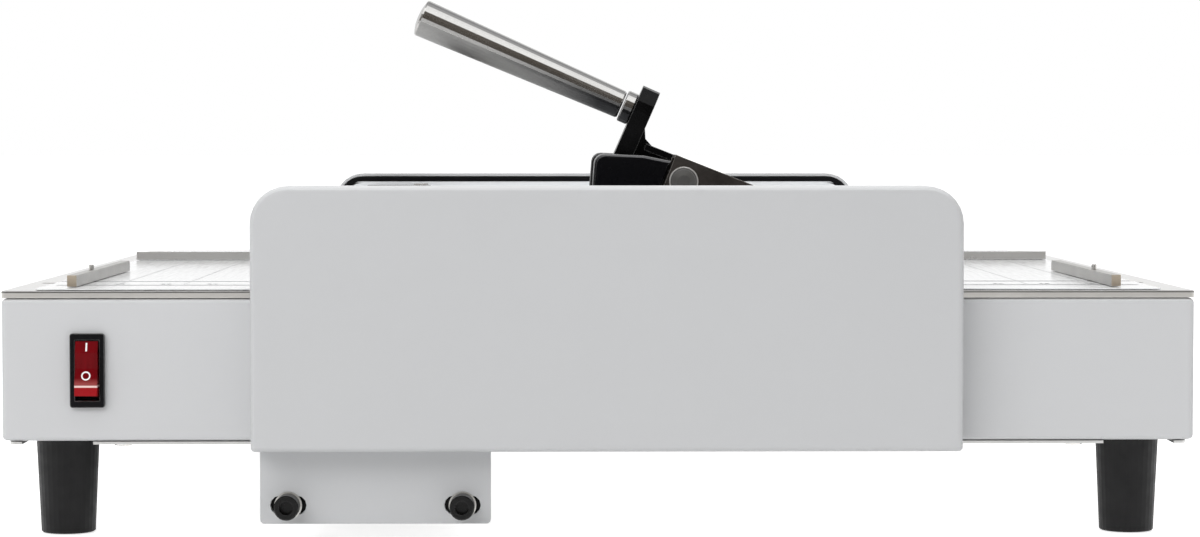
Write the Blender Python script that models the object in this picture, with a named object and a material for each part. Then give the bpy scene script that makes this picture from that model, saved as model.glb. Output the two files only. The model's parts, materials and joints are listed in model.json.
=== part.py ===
"""Desktop booklet maker: a paper table on a sheet-metal base, two stapler units under one press
handle, a folding knife over a pair of rollers, and two tall side covers.

X runs across the table to the right, Y away from the user, Z up. The origin is on the surface it
stands on, below the middle of the base. Lengths are in metres.
"""

import math

import bmesh
import bpy
from mathutils import Matrix, Vector

MM = 0.001

# Clearances and construction values shared by every piece
GAP = 0.3 * MM
RUNNING_CLEARANCE = 0.3 * MM
OVERRUN = 2 * MM
ARC_STEPS = 4
ROUND_STEPS = 24
FINE_STEPS = 32
SHARP_ANGLE = math.radians(35)

# Base
BASE_WIDTH = 500 * MM
BASE_DEPTH = 454 * MM
BASE_HEIGHT = 59.6 * MM
BASE_WALL = 1.2 * MM
BASE_CORNER_RADIUS = 2.5 * MM
BASE_EDGE_RADIUS = 1.8 * MM
TOP_FLANGE_WIDTH = 15 * MM
BASE_LIP_WIDTH = 3 * MM
FRAME_REACH = 40 * MM
FRAME_THICKNESS = 2 * MM

FOOT_HEIGHT = 41 * MM
FOOT_TOP_RADIUS = 13.35 * MM
FOOT_BOTTOM_RADIUS = 11.45 * MM
FOOT_CHAMFER = 0.5 * MM
FOOT_INSET_X = 23.2 * MM
FOOT_INSET_Y = 28 * MM
FOOT_BORE_RADIUS = 5 * MM
FOOT_BORE_DEPTH = 28 * MM

BOTTOM_PLATE_THICKNESS = 1.2 * MM
BOTTOM_PLATE_INSET_X = 3 * MM
BOTTOM_PLATE_INSET_Y = 1 * MM
FOOT_NOTCH_MARGIN = 1.5 * MM

# Table
TABLE_SHEET = 1 * MM
TABLE_EDGE_HEIGHT = 3.1 * MM
TABLE_CORNER_RADIUS = 2 * MM
TABLE_EDGE_RADIUS = 0.6 * MM
PANEL_THICKNESS = 0.4 * MM
PANEL_SIDE_INSET = 14 * MM
PANEL_FRONT_INSET = 0.5 * MM
SPINE_FROM_FRONT = 152 * MM
SPINE_X = -1.6 * MM

FENCE_FROM_FRONT = 300 * MM
FENCE_WALL = 1.5 * MM
FENCE_HEIGHT = 4.2 * MM
FENCE_FOOT_DEPTH = 13 * MM
FENCE_FOOT_THICKNESS = 1 * MM
FENCE_END_INSET = 14.5 * MM
FENCE_INNER_X = 26 * MM

# End stops and the slots that they slide in
STOP_SLOT_FROM_FRONT = 67 * MM
STOP_SLOT_WIDTH = 6 * MM
STOP_EDGE_MARGIN = 31.1 * MM
STOP_TRAVEL_IN = 70 * MM
STOP_TRAVEL_OUT = 17 * MM
STOP_BAR_THICKNESS = 4 * MM
STOP_BAR_HEIGHT = 4.8 * MM
STOP_BAR_FROM_FRONT = 14 * MM
STOP_BAR_LENGTH = 157 * MM
STOP_BAR_CORNER = 2.2 * MM
STOP_SCREW_RADIUS = 1.2 * MM
STOP_SCREW_PROUD = 2.4 * MM
SLIDER_FLANGE = 7 * MM
SLIDER_FLANGE_THICKNESS = 1.8 * MM

# Side covers, each a pan with a turned-in rim
COVER_WIDTH = 294.5 * MM
COVER_CENTRE_X = 3.05 * MM
COVER_DROP = 2.9 * MM
COVER_RISE = 43.2 * MM
COVER_DEPTH = 19.7 * MM
COVER_SHEET = 1.5 * MM
COVER_TOP_RADIUS = 15.5 * MM
COVER_BOTTOM_RADIUS = 1.8 * MM
COVER_BEND_RADIUS = 2.4 * MM
COVER_CORNER_STEPS = 7
COVER_BOSS_RADIUS = 4 * MM
COVER_BOSS_END_INSET = 17 * MM
COVER_BOSS_PIVOT_GAP = 20.7 * MM
COVER_BOSS_GEAR_GAP = 31 * MM
COVER_BOSS_RISE = 18 * MM
COVER_BOSS_LIFT = 22 * MM

TRIM_THICKNESS = 2.6 * MM
TRIM_DEPTH = 8 * MM
TRIM_BOTTOM_ABOVE_TABLE = 1 * MM

# Side plates, which carry the shafts and hang below the base as tongues
SIDE_PLATE_THICKNESS = 3 * MM
SIDE_PLATE_MARGIN = 0.8 * MM
TONGUE_WIDTH = 96.5 * MM
TONGUE_DROP = 34.5 * MM
TONGUE_CORNER = 1.8 * MM
TIE_INSET = 11.85 * MM
TIE_DROP = 26.7 * MM
TIE_SLOT_LENGTH = 15.2 * MM
TIE_SLOT_HEIGHT = 8.1 * MM
TIE_BOLT_RADIUS = 3 * MM
TIE_HEAD_RADIUS = 5.2 * MM
TIE_HEAD_LENGTH = 9.5 * MM
TIE_SOCKET_RADIUS = 2.9 * MM
TIE_SOCKET_DEPTH = 4 * MM
TIE_WASHER_RADIUS = 5.8 * MM
TIE_WASHER_THICKNESS = 1 * MM
TIE_NUT_RADIUS = 5.8 * MM
TIE_NUT_THICKNESS = 5 * MM

# Folding unit
FOLD_COVER_INSET = 49.2 * MM
ROLLER_RADIUS = 13 * MM
ROLLER_NIP = 0.3 * MM
ROLLER_DROP = 19.3 * MM
ROLLER_END_ROOM = 18.5 * MM
ROLLER_EDGE = 1 * MM
ROLLER_SHAFT_RADIUS = 4 * MM
ROLLER_GEAR_TEETH = 20
DRIVE_GEAR_TEETH = 32
GEAR_WIDTH = 6 * MM
GEAR_WALL_GAP = 1.5 * MM
GEAR_BORE_WALL = 2.4 * MM
DRIVE_GEAR_BEARING = math.radians(-22)
MOTOR_RADIUS = 18 * MM
MOTOR_LENGTH = 78 * MM
MOTOR_CAP_LENGTH = 16 * MM
MOTOR_CAP_STEP = 1.5 * MM
MOTOR_SHAFT_RADIUS = 3 * MM
BEARING_PLATE_THICKNESS = 6 * MM
BEARING_PLATE_LIFT = 10.4 * MM
BEARING_PLATE_RISE = 12.5 * MM
BEARING_PLATE_LEFT = 44 * MM
BEARING_PLATE_RIGHT = 62 * MM
BEARING_PLATE_CORNER = 4 * MM

# Folding knife, its beam on two guide rods, and the pinion shaft that moves it
KNIFE_TRAVEL = 24 * MM
KNIFE_THICKNESS = 1.2 * MM
KNIFE_EDGE_RISE = 8.7 * MM
KNIFE_FROM_FRONT = 19 * MM
KNIFE_FENCE_ROOM = 2 * MM
BEAM_RISE = 36.7 * MM
BEAM_HEIGHT = 7.5 * MM
BEAM_DEPTH = 12 * MM
KNIFE_SEAT_DEPTH = 4 * MM
GUIDE_INSET_Y = 11 * MM
GUIDE_ROD_RADIUS = 4 * MM
GUIDE_ROD_PROUD = 1 * MM
BEAM_END_HALF_DEPTH = 6 * MM
RACK_MODULE = 1 * MM
TOOTH_ROOT_SHARE = 1.2
TOOTH_TIP_SHARE = 0.85
TOOTH_ROOT_WIDTH_SHARE = 0.62
TOOTH_PITCH_WIDTH_SHARE = 0.42
TOOTH_TIP_WIDTH_SHARE = 0.2
PINION_TEETH = 12
RACK_SPARE_TEETH = 2
RACK_WIDTH = 6 * MM
RACK_BACK = 4 * MM
RACK_DROP = 4 * MM
PINION_SHAFT_RADIUS = 4 * MM
PINION_SHAFT_OFFSET = 35 * MM
KNIFE_MOTOR_HALF_LENGTH = 40 * MM
KNIFE_MOTOR_LEFT = 36 * MM
KNIFE_MOTOR_RIGHT = 7.5 * MM
KNIFE_MOTOR_HALF_HEIGHT = 15 * MM
KNIFE_MOTOR_FOOT = 12 * MM
KNIFE_MOTOR_EDGE = 2 * MM
KNIFE_SLOT_WIDTH = 6 * MM
SLOT_MARGIN = 1 * MM

# Exit chute
CHUTE_SHEET = 1.2 * MM
CHUTE_END_ROOM = 14 * MM
CHUTE_DROP = 20 * MM
CHUTE_TOP_HALF_GAP = 9 * MM
CHUTE_EYE_GAP = 0.4 * MM
CHUTE_EYE_STEPS = 12
CHUTE_MOUTH_HALF_WIDTH = 42 * MM

# Stapler units and the press lever
PIVOT_COVER_INSET = 32.3 * MM
PIVOT_RISE = 13.4 * MM
PIVOT_RADIUS = 6 * MM
PIVOT_END = 4 * MM
STAPLER_SPACING = 125 * MM
LEVER_TOP_RISE = 55.7 * MM
LEVER_TIP_X = 34.8 * MM
LEVER_HUB_RADIUS = 8.9 * MM
LEVER_TIP_DROP = 18.5 * MM
LEVER_SHEET = 1.5 * MM
LEVER_WEB_END = 14 * MM
LEVER_INNER_HALF_WIDTH = 15.8 * MM
RIVET_RADIUS = 6.4 * MM
RIVET_HEIGHT = 1.4 * MM
RIVET_FACE_RADIUS = 5.3 * MM
RIVET_STEP = 0.5 * MM
RIVET_X = 38.2 * MM
RIVET_RISE = 43.9 * MM
PIN_RADIUS = 3 * MM
ARM_HALF_WIDTH = 4 * MM
ARM_HEIGHT = 4 * MM
ARM_EYE_RADIUS = 5.2 * MM
ARM_TIP_X = 2.6 * MM
ARM_BOTTOM_RISE = 42.2 * MM
PRESS_BAR_RADIUS = 5 * MM
PRESS_BAR_X = 62 * MM
PRESS_BAR_RISE = 33.9 * MM
PRESS_BAR_END = 3 * MM

HEAD_HALF_WIDTH = 15 * MM
HEAD_WALL = 2.2 * MM
HEAD_BOTTOM_RISE = 9.2 * MM
HEAD_LEFT_BOTTOM_X = -4.4 * MM
HEAD_LEFT_TOP_X = -1.3 * MM
HEAD_TOP_RISE = 56 * MM
HEAD_TOP_MID_X = 21 * MM
HEAD_TOP_MID_RISE = 55.2 * MM
HEAD_TOP_RIGHT_X = 32.9 * MM
HEAD_TOP_RIGHT_RISE = 52.8 * MM
HEAD_RIGHT_X = 28.6 * MM
HEAD_RIGHT_MID_RISE = 41.9 * MM
HEAD_CORNER_RADIUS = 4.5 * MM
HEAD_EDGE_RADIUS = 1.7 * MM
HEAD_EDGE_STEPS = 3
HEAD_CAVITY_BOTTOM_RISE = 22.7 * MM
MAGAZINE_HALF_WIDTH = 7 * MM
MAGAZINE_SHEET = 1.2 * MM
MAGAZINE_BOTTOM_RISE = 8.7 * MM
MAGAZINE_TOP_RISE = 20.7 * MM
MAGAZINE_TIP_X = -1.3 * MM
MAGAZINE_EAR_RADIUS = 8.5 * MM
DRIVER_THICKNESS = 1 * MM
DRIVER_HALF_WIDTH = 5.2 * MM
DRIVER_X = 3.4 * MM
DRIVER_BOTTOM_RISE = 18.5 * MM
ANVIL_HALF_LENGTH = 12 * MM
ANVIL_HALF_DEPTH = 14 * MM
ANVIL_X = 3.4 * MM
ANVIL_GROOVE_DEPTH = 0.8 * MM
ANVIL_GROOVE_HALF_WIDTH = 1.4 * MM
ANVIL_GROOVE_HALF_LENGTH = 3.6 * MM
ANVIL_GROOVE_OFFSET = 4.4 * MM
ANVIL_STEM_HALF = 8 * MM
ANVIL_CAP_THICKNESS = 3.6 * MM
ANVIL_BEAM_DROP = 12.3 * MM
ANVIL_BEAM_HEIGHT = 16 * MM
ANVIL_BEAM_HALF_WIDTH = 9 * MM
ANVIL_BEAM_WALL = 3 * MM

# Handle bracket, collar and grip, seen side on
BRACKET_HALF_WIDTH = 5 * MM
BRACKET_PLATE_THICKNESS = 8.45 * MM
BRACKET_EYE_RADIUS = 12 * MM
BRACKET_FLANGE_HALF_WIDTH = 8 * MM
BRACKET_FLANGE_THICKNESS = 3 * MM
BRACKET_FOOT_X = 8.9 * MM
BRACKET_FOOT_RISE = 56.6 * MM
BRACKET_TOP_X = 22.6 * MM
BRACKET_TOP_RISE = 87.6 * MM
BRACKET_FILLET = 7 * MM
BRACKET_HEEL_DROP = 16 * MM
BRACKET_HUB_HALF_WIDTH = 9 * MM
HANDLE_NEAR_X = 12.7 * MM
HANDLE_NEAR_RISE = 78.5 * MM
HANDLE_FAR_X = -82.6 * MM
HANDLE_FAR_RISE = 119.9 * MM
HANDLE_FAR_RADIUS = 8.7 * MM
HANDLE_NEAR_RADIUS = 6.6 * MM
HANDLE_DOME = 1.2 * MM
HANDLE_EDGE = 1.1 * MM
COLLAR_RADIUS = 7.6 * MM
COLLAR_EDGE = 0.5 * MM

# Rocker switch and power inlet
SWITCH_INSET = 36.2 * MM
SWITCH_RISE = 29.7 * MM
SWITCH_WIDTH = 14.4 * MM
SWITCH_HEIGHT = 31 * MM
SWITCH_FLANGE = 2 * MM
SWITCH_CORNER = 1 * MM
SWITCH_BODY_WIDTH = 12.4 * MM
SWITCH_BODY_HEIGHT = 27.4 * MM
SWITCH_BODY_DEPTH = 22 * MM
ROCKER_WIDTH = 9.4 * MM
ROCKER_HALF_LENGTH = 11.5 * MM
ROCKER_EDGE_AT = 6.6 * MM
ROCKER_PROUD = 3.3 * MM
ROCKER_MIDDLE = 2.3 * MM
ROCKER_BACK = 4.5 * MM
ROCKER_END_DROP = 0.6 * MM
ROCKER_TILT = math.radians(9)
ROCKER_ROOM = 0.4 * MM
ROCKER_END_ROOM = 1.2 * MM
ROCKER_PIVOT_DEPTH = 4 * MM
ROCKER_POCKET_DEPTH = 10.5 * MM
INLET_RISE = 29.5 * MM
INLET_FLANGE_WIDTH = 31 * MM
INLET_FLANGE_HEIGHT = 25 * MM
INLET_FLANGE = 2.5 * MM
INLET_BODY_WIDTH = 27.4 * MM
INLET_BODY_HEIGHT = 19.8 * MM
INLET_BODY_DEPTH = 22 * MM
INLET_POCKET_WIDTH = 24 * MM
INLET_POCKET_HEIGHT = 16.4 * MM
INLET_POCKET_DEPTH = 17 * MM
INLET_CORNER = 4.5 * MM
INLET_PIN_WIDTH = 2 * MM
INLET_PIN_HEIGHT = 4 * MM
INLET_PIN_LENGTH = 11 * MM
INLET_PIN_SPACING = 7 * MM
INLET_PIN_RISE = 2 * MM

# Heights, faces and places that follow from the sizes above
BASE_BOTTOM_Z = FOOT_HEIGHT + GAP
BASE_TOP_Z = BASE_BOTTOM_Z + BASE_HEIGHT
TABLE_BOTTOM_Z = BASE_TOP_Z + GAP
TABLE_TOP_Z = TABLE_BOTTOM_Z + TABLE_EDGE_HEIGHT
PANEL_BOTTOM_Z = TABLE_TOP_Z + GAP
PANEL_TOP_Z = PANEL_BOTTOM_Z + PANEL_THICKNESS
HALF_WIDTH = BASE_WIDTH / 2
HALF_DEPTH = BASE_DEPTH / 2
INNER_X = HALF_WIDTH - BASE_WALL
INNER_Y = HALF_DEPTH - BASE_WALL
PLATE_INNER_Y = HALF_DEPTH + GAP
PLATE_OUTER_Y = PLATE_INNER_Y + SIDE_PLATE_THICKNESS
COVER_RIM_Y = HALF_DEPTH + GAP
COVER_FACE_Y = COVER_RIM_Y + COVER_DEPTH
COVER_LEFT_X = COVER_CENTRE_X - COVER_WIDTH / 2
COVER_RIGHT_X = COVER_CENTRE_X + COVER_WIDTH / 2
COVER_BOTTOM_Z = BASE_BOTTOM_Z - COVER_DROP
COVER_TOP_Z = PANEL_TOP_Z + COVER_RISE
TONGUE_BOTTOM_Z = BASE_BOTTOM_Z - TONGUE_DROP
TIE_Z = BASE_BOTTOM_Z - TIE_DROP
TONGUE_LEFT_X = COVER_LEFT_X + COVER_SHEET + SIDE_PLATE_MARGIN
TONGUE_RIGHT_X = TONGUE_LEFT_X + TONGUE_WIDTH
TIE_XS = {"left": TONGUE_LEFT_X + TIE_INSET, "right": TONGUE_RIGHT_X - TIE_INSET}
SPINE_Y = SPINE_FROM_FRONT - HALF_DEPTH
FENCE_Y = FENCE_FROM_FRONT - HALF_DEPTH
FENCE_OUTER_X = HALF_WIDTH - FENCE_END_INSET
STOP_SLOT_Y = STOP_SLOT_FROM_FRONT - HALF_DEPTH
STOP_BAR_FRONT_Y = STOP_BAR_FROM_FRONT - HALF_DEPTH
STOP_BAR_REAR_Y = STOP_BAR_FRONT_Y + STOP_BAR_LENGTH
STOP_REACH = HALF_WIDTH - STOP_EDGE_MARGIN
STOP_INNER_XS = {-1: SPINE_X - STOP_REACH, 1: SPINE_X + STOP_REACH}
FOLD_X = COVER_LEFT_X + FOLD_COVER_INSET
PIVOT_X = COVER_RIGHT_X - PIVOT_COVER_INSET
ROLLER_Z = PANEL_TOP_Z - ROLLER_DROP
ROLLER_HALF_LENGTH = HALF_DEPTH - ROLLER_END_ROOM
ROLLER_SPACING = 2 * ROLLER_RADIUS + ROLLER_NIP
GEAR_MODULE = ROLLER_SPACING / ROLLER_GEAR_TEETH
LEFT_ROLLER_X = FOLD_X - ROLLER_SPACING / 2
RIGHT_ROLLER_X = FOLD_X + ROLLER_SPACING / 2
BEARING_PLATE_LEFT_X = FOLD_X - BEARING_PLATE_LEFT
BEARING_PLATE_RIGHT_X = FOLD_X + BEARING_PLATE_RIGHT
BEARING_PLATE_BOTTOM_Z = BASE_BOTTOM_Z + BEARING_PLATE_LIFT
BEARING_PLATE_TOP_Z = ROLLER_Z + BEARING_PLATE_RISE
FRONT_BEARING_FACE_Y = HALF_DEPTH - BEARING_PLATE_THICKNESS
DRIVE_DISTANCE = GEAR_MODULE * (ROLLER_GEAR_TEETH + DRIVE_GEAR_TEETH) / 2
MOTOR_X = RIGHT_ROLLER_X + DRIVE_DISTANCE * math.cos(DRIVE_GEAR_BEARING)
MOTOR_Z = ROLLER_Z + DRIVE_DISTANCE * math.sin(DRIVE_GEAR_BEARING)
COVER_BOSS_PLACES = (
    (COVER_LEFT_X + COVER_BOSS_END_INSET, PANEL_TOP_Z + COVER_BOSS_RISE),
    (MOTOR_X + COVER_BOSS_GEAR_GAP, COVER_BOTTOM_Z + COVER_BOSS_LIFT),
    (PIVOT_X - COVER_BOSS_PIVOT_GAP, PANEL_TOP_Z + COVER_BOSS_RISE),
    (COVER_RIGHT_X - COVER_BOSS_END_INSET, COVER_BOTTOM_Z + COVER_BOSS_LIFT),
)
KNIFE_EDGE_Z = PANEL_TOP_Z + KNIFE_EDGE_RISE
KNIFE_FRONT_Y = KNIFE_FROM_FRONT - HALF_DEPTH
KNIFE_REAR_Y = FENCE_Y - KNIFE_FENCE_ROOM
BEAM_TOP_Z = PANEL_TOP_Z + BEAM_RISE
BEAM_BOTTOM_Z = BEAM_TOP_Z - BEAM_HEIGHT
GUIDE_Y = HALF_DEPTH - GUIDE_INSET_Y
GUIDE_ROD_TOP_Z = BEAM_TOP_Z + GUIDE_ROD_PROUD
RACK_BOTTOM_Z = ROLLER_Z - RACK_DROP
PINION_SHAFT_X = FOLD_X - PINION_SHAFT_OFFSET
PINION_RADIUS = RACK_MODULE * PINION_TEETH / 2
RACK_PITCH_X = PINION_SHAFT_X + PINION_RADIUS
CHUTE_HALF_LENGTH = HALF_DEPTH - CHUTE_END_ROOM
CHUTE_TOP_Z = ROLLER_Z - CHUTE_DROP
STAPLER_YS = (SPINE_Y - STAPLER_SPACING / 2, SPINE_Y + STAPLER_SPACING / 2)
PIVOT_Z = PANEL_TOP_Z + PIVOT_RISE
LEVER_TOP_Z = PANEL_TOP_Z + LEVER_TOP_RISE
RIVET_Z = PANEL_TOP_Z + RIVET_RISE
ARM_BOTTOM_Z = PANEL_TOP_Z + ARM_BOTTOM_RISE
PRESS_BAR_Z = PANEL_TOP_Z + PRESS_BAR_RISE
HEAD_BOTTOM_Z = PANEL_TOP_Z + HEAD_BOTTOM_RISE
HEAD_TOP_Z = PANEL_TOP_Z + HEAD_TOP_RISE
HEAD_TOP_MID_Z = PANEL_TOP_Z + HEAD_TOP_MID_RISE
HEAD_TOP_RIGHT_Z = PANEL_TOP_Z + HEAD_TOP_RIGHT_RISE
HEAD_RIGHT_MID_Z = PANEL_TOP_Z + HEAD_RIGHT_MID_RISE
HEAD_CAVITY_BOTTOM_Z = PANEL_TOP_Z + HEAD_CAVITY_BOTTOM_RISE
HEAD_LEAN = math.atan2(HEAD_LEFT_TOP_X - HEAD_LEFT_BOTTOM_X, HEAD_TOP_Z - HEAD_BOTTOM_Z)
MAGAZINE_BOTTOM_Z = PANEL_TOP_Z + MAGAZINE_BOTTOM_RISE
MAGAZINE_TOP_Z = PANEL_TOP_Z + MAGAZINE_TOP_RISE
DRIVER_BOTTOM_Z = PANEL_TOP_Z + DRIVER_BOTTOM_RISE
ANVIL_BEAM_TOP_Z = PANEL_TOP_Z - ANVIL_BEAM_DROP
BRACKET_FOOT_Z = PANEL_TOP_Z + BRACKET_FOOT_RISE
BRACKET_TOP_Z = PANEL_TOP_Z + BRACKET_TOP_RISE
HANDLE_NEAR_Z = PANEL_TOP_Z + HANDLE_NEAR_RISE
HANDLE_FAR_Z = PANEL_TOP_Z + HANDLE_FAR_RISE
SWITCH_X = SWITCH_INSET - HALF_WIDTH
SWITCH_Z = BASE_BOTTOM_Z + SWITCH_RISE
INLET_X = (COVER_RIGHT_X + HALF_WIDTH) / 2
INLET_Z = BASE_BOTTOM_Z + INLET_RISE


# Helpers: every shape is a bmesh in world coordinates, and becomes an object with its own origin


def clear_scene():
    for item in list(bpy.data.objects):
        bpy.data.objects.remove(item, do_unlink=True)


def make_material(name, colour, roughness, metallic=0.0):
    material = bpy.data.materials.new(name)
    material.use_nodes = True
    shader = material.node_tree.nodes["Principled BSDF"]
    shader.inputs["Base Color"].default_value = (*colour, 1)
    shader.inputs["Roughness"].default_value = roughness
    shader.inputs["Metallic"].default_value = metallic
    material.diffuse_color = (*colour, 1)
    return material


def arc(centre, radius, start, end, steps):
    """Points on a circle from one angle to another, both ends included."""
    angles = [start + (end - start) * i / steps for i in range(steps + 1)]
    return [(centre[0] + radius * math.cos(a), centre[1] + radius * math.sin(a)) for a in angles]


def circle(centre, radius, steps=ROUND_STEPS):
    return arc(centre, radius, 0, 2 * math.pi, steps)[:-1]


def rounded_rectangle(low, high, radii, steps=ARC_STEPS):
    """Anticlockwise outline; radii run bottom left, bottom right, top right, top left."""
    corners = ((low[0], low[1]), (high[0], low[1]), (high[0], high[1]), (low[0], high[1]))
    inward = ((1, 1), (-1, 1), (-1, -1), (1, -1))
    points = []
    for i, (corner, side, radius) in enumerate(zip(corners, inward, radii)):
        centre = (corner[0] + side[0] * radius, corner[1] + side[1] * radius)
        start = math.pi + i * math.pi / 2
        points += arc(centre, radius, start, start + math.pi / 2, steps)
    return points


def slot_outline(centre, length, width, steps=6):
    """A long hole with round ends, lying along the first axis."""
    reach = (length - width) / 2
    right = arc((centre[0] + reach, centre[1]), width / 2, -math.pi / 2, math.pi / 2, steps)
    left = arc((centre[0] - reach, centre[1]), width / 2, math.pi / 2, 3 * math.pi / 2, steps)
    return right + left


def turned_about(points, centre, angle):
    """2D points turned about a centre."""
    turn = Matrix.Rotation(angle, 2)
    middle = Vector(centre)
    return [tuple(middle + turn @ (Vector(p) - middle)) for p in points]


def place(plane, point, height):
    """A 2D point of a drawing plane, set at a height across it."""
    if plane == "XY":
        return (point[0], point[1], height)
    if plane == "XZ":
        return (point[0], height, point[1])
    return (height, point[0], point[1])


def loft(rings, closed=False):
    """Skin over rings of equal point counts; open ends get flat caps."""
    shape = bmesh.new()
    rows = [[shape.verts.new(p) for p in ring] for ring in rings]
    pairs = list(zip(rows, rows[1:]))
    if closed:
        pairs.append((rows[-1], rows[0]))
    else:
        shape.faces.new(rows[0])
        shape.faces.new(rows[-1])
    count = len(rows[0])
    for low, high in pairs:
        for i in range(count):
            j = (i + 1) % count
            shape.faces.new((low[i], low[j], high[j], high[i]))
    bmesh.ops.recalc_face_normals(shape, faces=shape.faces)
    return shape


def prism(outline, plane, start, end):
    return loft([[place(plane, p, height) for p in outline] for height in (start, end)])


def block(low, high):
    outline = [(low[0], low[1]), (high[0], low[1]), (high[0], high[1]), (low[0], high[1])]
    return prism(outline, "XY", low[2], high[2])


def lathe(profile, plane, centre, steps=ROUND_STEPS, closed=False):
    """Rings of (radius, height) about an axis that stands across the plane at a centre."""
    rings = [[place(plane, p, height) for p in circle(centre, radius, steps)] for radius, height in profile]
    return loft(rings, closed)


def cylinder(plane, centre, radius, start, end, steps=ROUND_STEPS):
    return lathe([(radius, start), (radius, end)], plane, centre, steps)


def merged(shapes):
    """Separate closed shapes held in one mesh, as the cutter of several holes."""
    total = bmesh.new()
    for shape in shapes:
        mesh = bpy.data.meshes.new("part")
        shape.to_mesh(mesh)
        shape.free()
        total.from_mesh(mesh)
        bpy.data.meshes.remove(mesh)
    return total


def link_mesh(name, shape, origin):
    mesh = bpy.data.meshes.new(name)
    shape.to_mesh(mesh)
    shape.free()
    mesh.transform(Matrix.Translation(-origin))
    mesh.shade_smooth()
    mesh.set_sharp_from_angle(angle=SHARP_ANGLE)
    item = bpy.data.objects.new(name, mesh)
    bpy.context.scene.collection.objects.link(item)
    return item


def add_piece(name, shape, material, pivot=None):
    """An object whose origin is its own place, or its joint's axis when a pivot empty is given."""
    if pivot is None:
        item = link_mesh(name, shape, Vector((0, 0, 0)))
    else:
        item = link_mesh(name, shape, Vector(pivot.location))
        item.parent = pivot
    item.data.materials.append(material)
    return item


def add_pivot(name, point):
    pivot = bpy.data.objects.new(name, None)
    pivot.empty_display_size = FOOT_HEIGHT
    pivot.location = point
    bpy.context.scene.collection.objects.link(pivot)
    return pivot


def combine(item, shapes, operation):
    """Joins or cuts an object with hidden helper shapes, each in world coordinates."""
    name = f"{item.name}_{operation.lower()}_{len(item.modifiers)}"
    helper = link_mesh(name, merged(shapes), Vector((0, 0, 0)))
    helper.hide_render = True
    helper.display_type = "WIRE"
    change = item.modifiers.new(operation.title(), "BOOLEAN")
    change.operation = operation
    change.solver = "EXACT"
    change.object = helper


def cut(item, shapes):
    combine(item, shapes, "DIFFERENCE")


def join(item, shapes):
    """Unites an object with others one by one, since those may touch each other."""
    for shape in shapes:
        combine(item, [shape], "UNION")



# Base: housing, bottom plate and feet


def box_ring(half_x, half_y, radius, z):
    outline = rounded_rectangle((-half_x, -half_y), (half_x, half_y), (radius,) * 4)
    return [(x, y, z) for x, y in outline]


def edge_rings(half_x, half_y, radius, edge, low, high, steps=3):
    """Rings of a box whose lower and upper edges are rounded, from the bottom up."""
    rings = []
    for i in range(steps + 1):
        angle = math.pi / 2 * i / steps
        inset = edge * (1 - math.sin(angle))
        z = low + edge * (1 - math.cos(angle))
        rings.append(box_ring(half_x - inset, half_y - inset, radius, z))
    for i in range(steps + 1):
        angle = math.pi / 2 * i / steps
        inset = edge * (1 - math.cos(angle))
        z = high - edge * (1 - math.sin(angle))
        rings.append(box_ring(half_x - inset, half_y - inset, radius, z))
    return rings


def stack_between(low, high, x_range, y_range):
    return block((x_range[0], y_range[0], low), (x_range[1], y_range[1], high))


def build_base_housing(material):
    wall = BASE_WALL
    low = BASE_BOTTOM_Z
    high = BASE_TOP_Z
    open_top = (HALF_WIDTH - TOP_FLANGE_WIDTH, HALF_DEPTH - TOP_FLANGE_WIDTH)
    open_bottom = (HALF_WIDTH - BASE_LIP_WIDTH, HALF_DEPTH - BASE_LIP_WIDTH)
    rings = [box_ring(*open_bottom, BASE_CORNER_RADIUS, low)]
    rings += edge_rings(HALF_WIDTH, HALF_DEPTH, BASE_CORNER_RADIUS, BASE_EDGE_RADIUS, low, high)
    rings.append(box_ring(*open_top, BASE_CORNER_RADIUS, high))
    rings.append(box_ring(*open_top, BASE_CORNER_RADIUS, high - wall))
    rings.append(box_ring(INNER_X, INNER_Y, BASE_CORNER_RADIUS, high - wall))
    rings.append(box_ring(INNER_X, INNER_Y, BASE_CORNER_RADIUS, low + wall))
    rings.append(box_ring(*open_bottom, BASE_CORNER_RADIUS, low + wall))
    housing = add_piece("base_housing", loft(rings, closed=True), material)

    width = SWITCH_BODY_WIDTH / 2 + GAP
    height = SWITCH_BODY_HEIGHT / 2 + GAP
    switch_hole = block(
        (SWITCH_X - width, -HALF_DEPTH - OVERRUN, SWITCH_Z - height),
        (SWITCH_X + width, -INNER_Y + OVERRUN, SWITCH_Z + height),
    )
    width = INLET_BODY_WIDTH / 2 + GAP
    height = INLET_BODY_HEIGHT / 2 + GAP
    inlet_hole = block(
        (INLET_X - width, INNER_Y - OVERRUN, INLET_Z - height),
        (INLET_X + width, HALF_DEPTH + OVERRUN, INLET_Z + height),
    )
    holes = [switch_hole, inlet_hole]
    for side in (-1, 1):
        near, far = sorted((side * (INNER_Y - OVERRUN), side * (HALF_DEPTH + OVERRUN)))
        holes.append(
            block(
                (BEARING_PLATE_LEFT_X - GAP, near, BEARING_PLATE_BOTTOM_Z - GAP),
                (BEARING_PLATE_RIGHT_X + GAP, far, BEARING_PLATE_TOP_Z + GAP),
            )
        )
        holes.append(rack_passage(side, BASE_TOP_Z - BASE_WALL - OVERRUN, BASE_TOP_Z + OVERRUN))
    cut(housing, holes)


def chute_mouth(low, high):
    """A cutter through the bottom, as wide as the exit chute's mouth."""
    return stack_between(
        low,
        high,
        (FOLD_X - CHUTE_MOUTH_HALF_WIDTH, FOLD_X + CHUTE_MOUTH_HALF_WIDTH),
        (-CHUTE_HALF_LENGTH - SLOT_MARGIN, CHUTE_HALF_LENGTH + SLOT_MARGIN),
    )


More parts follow.
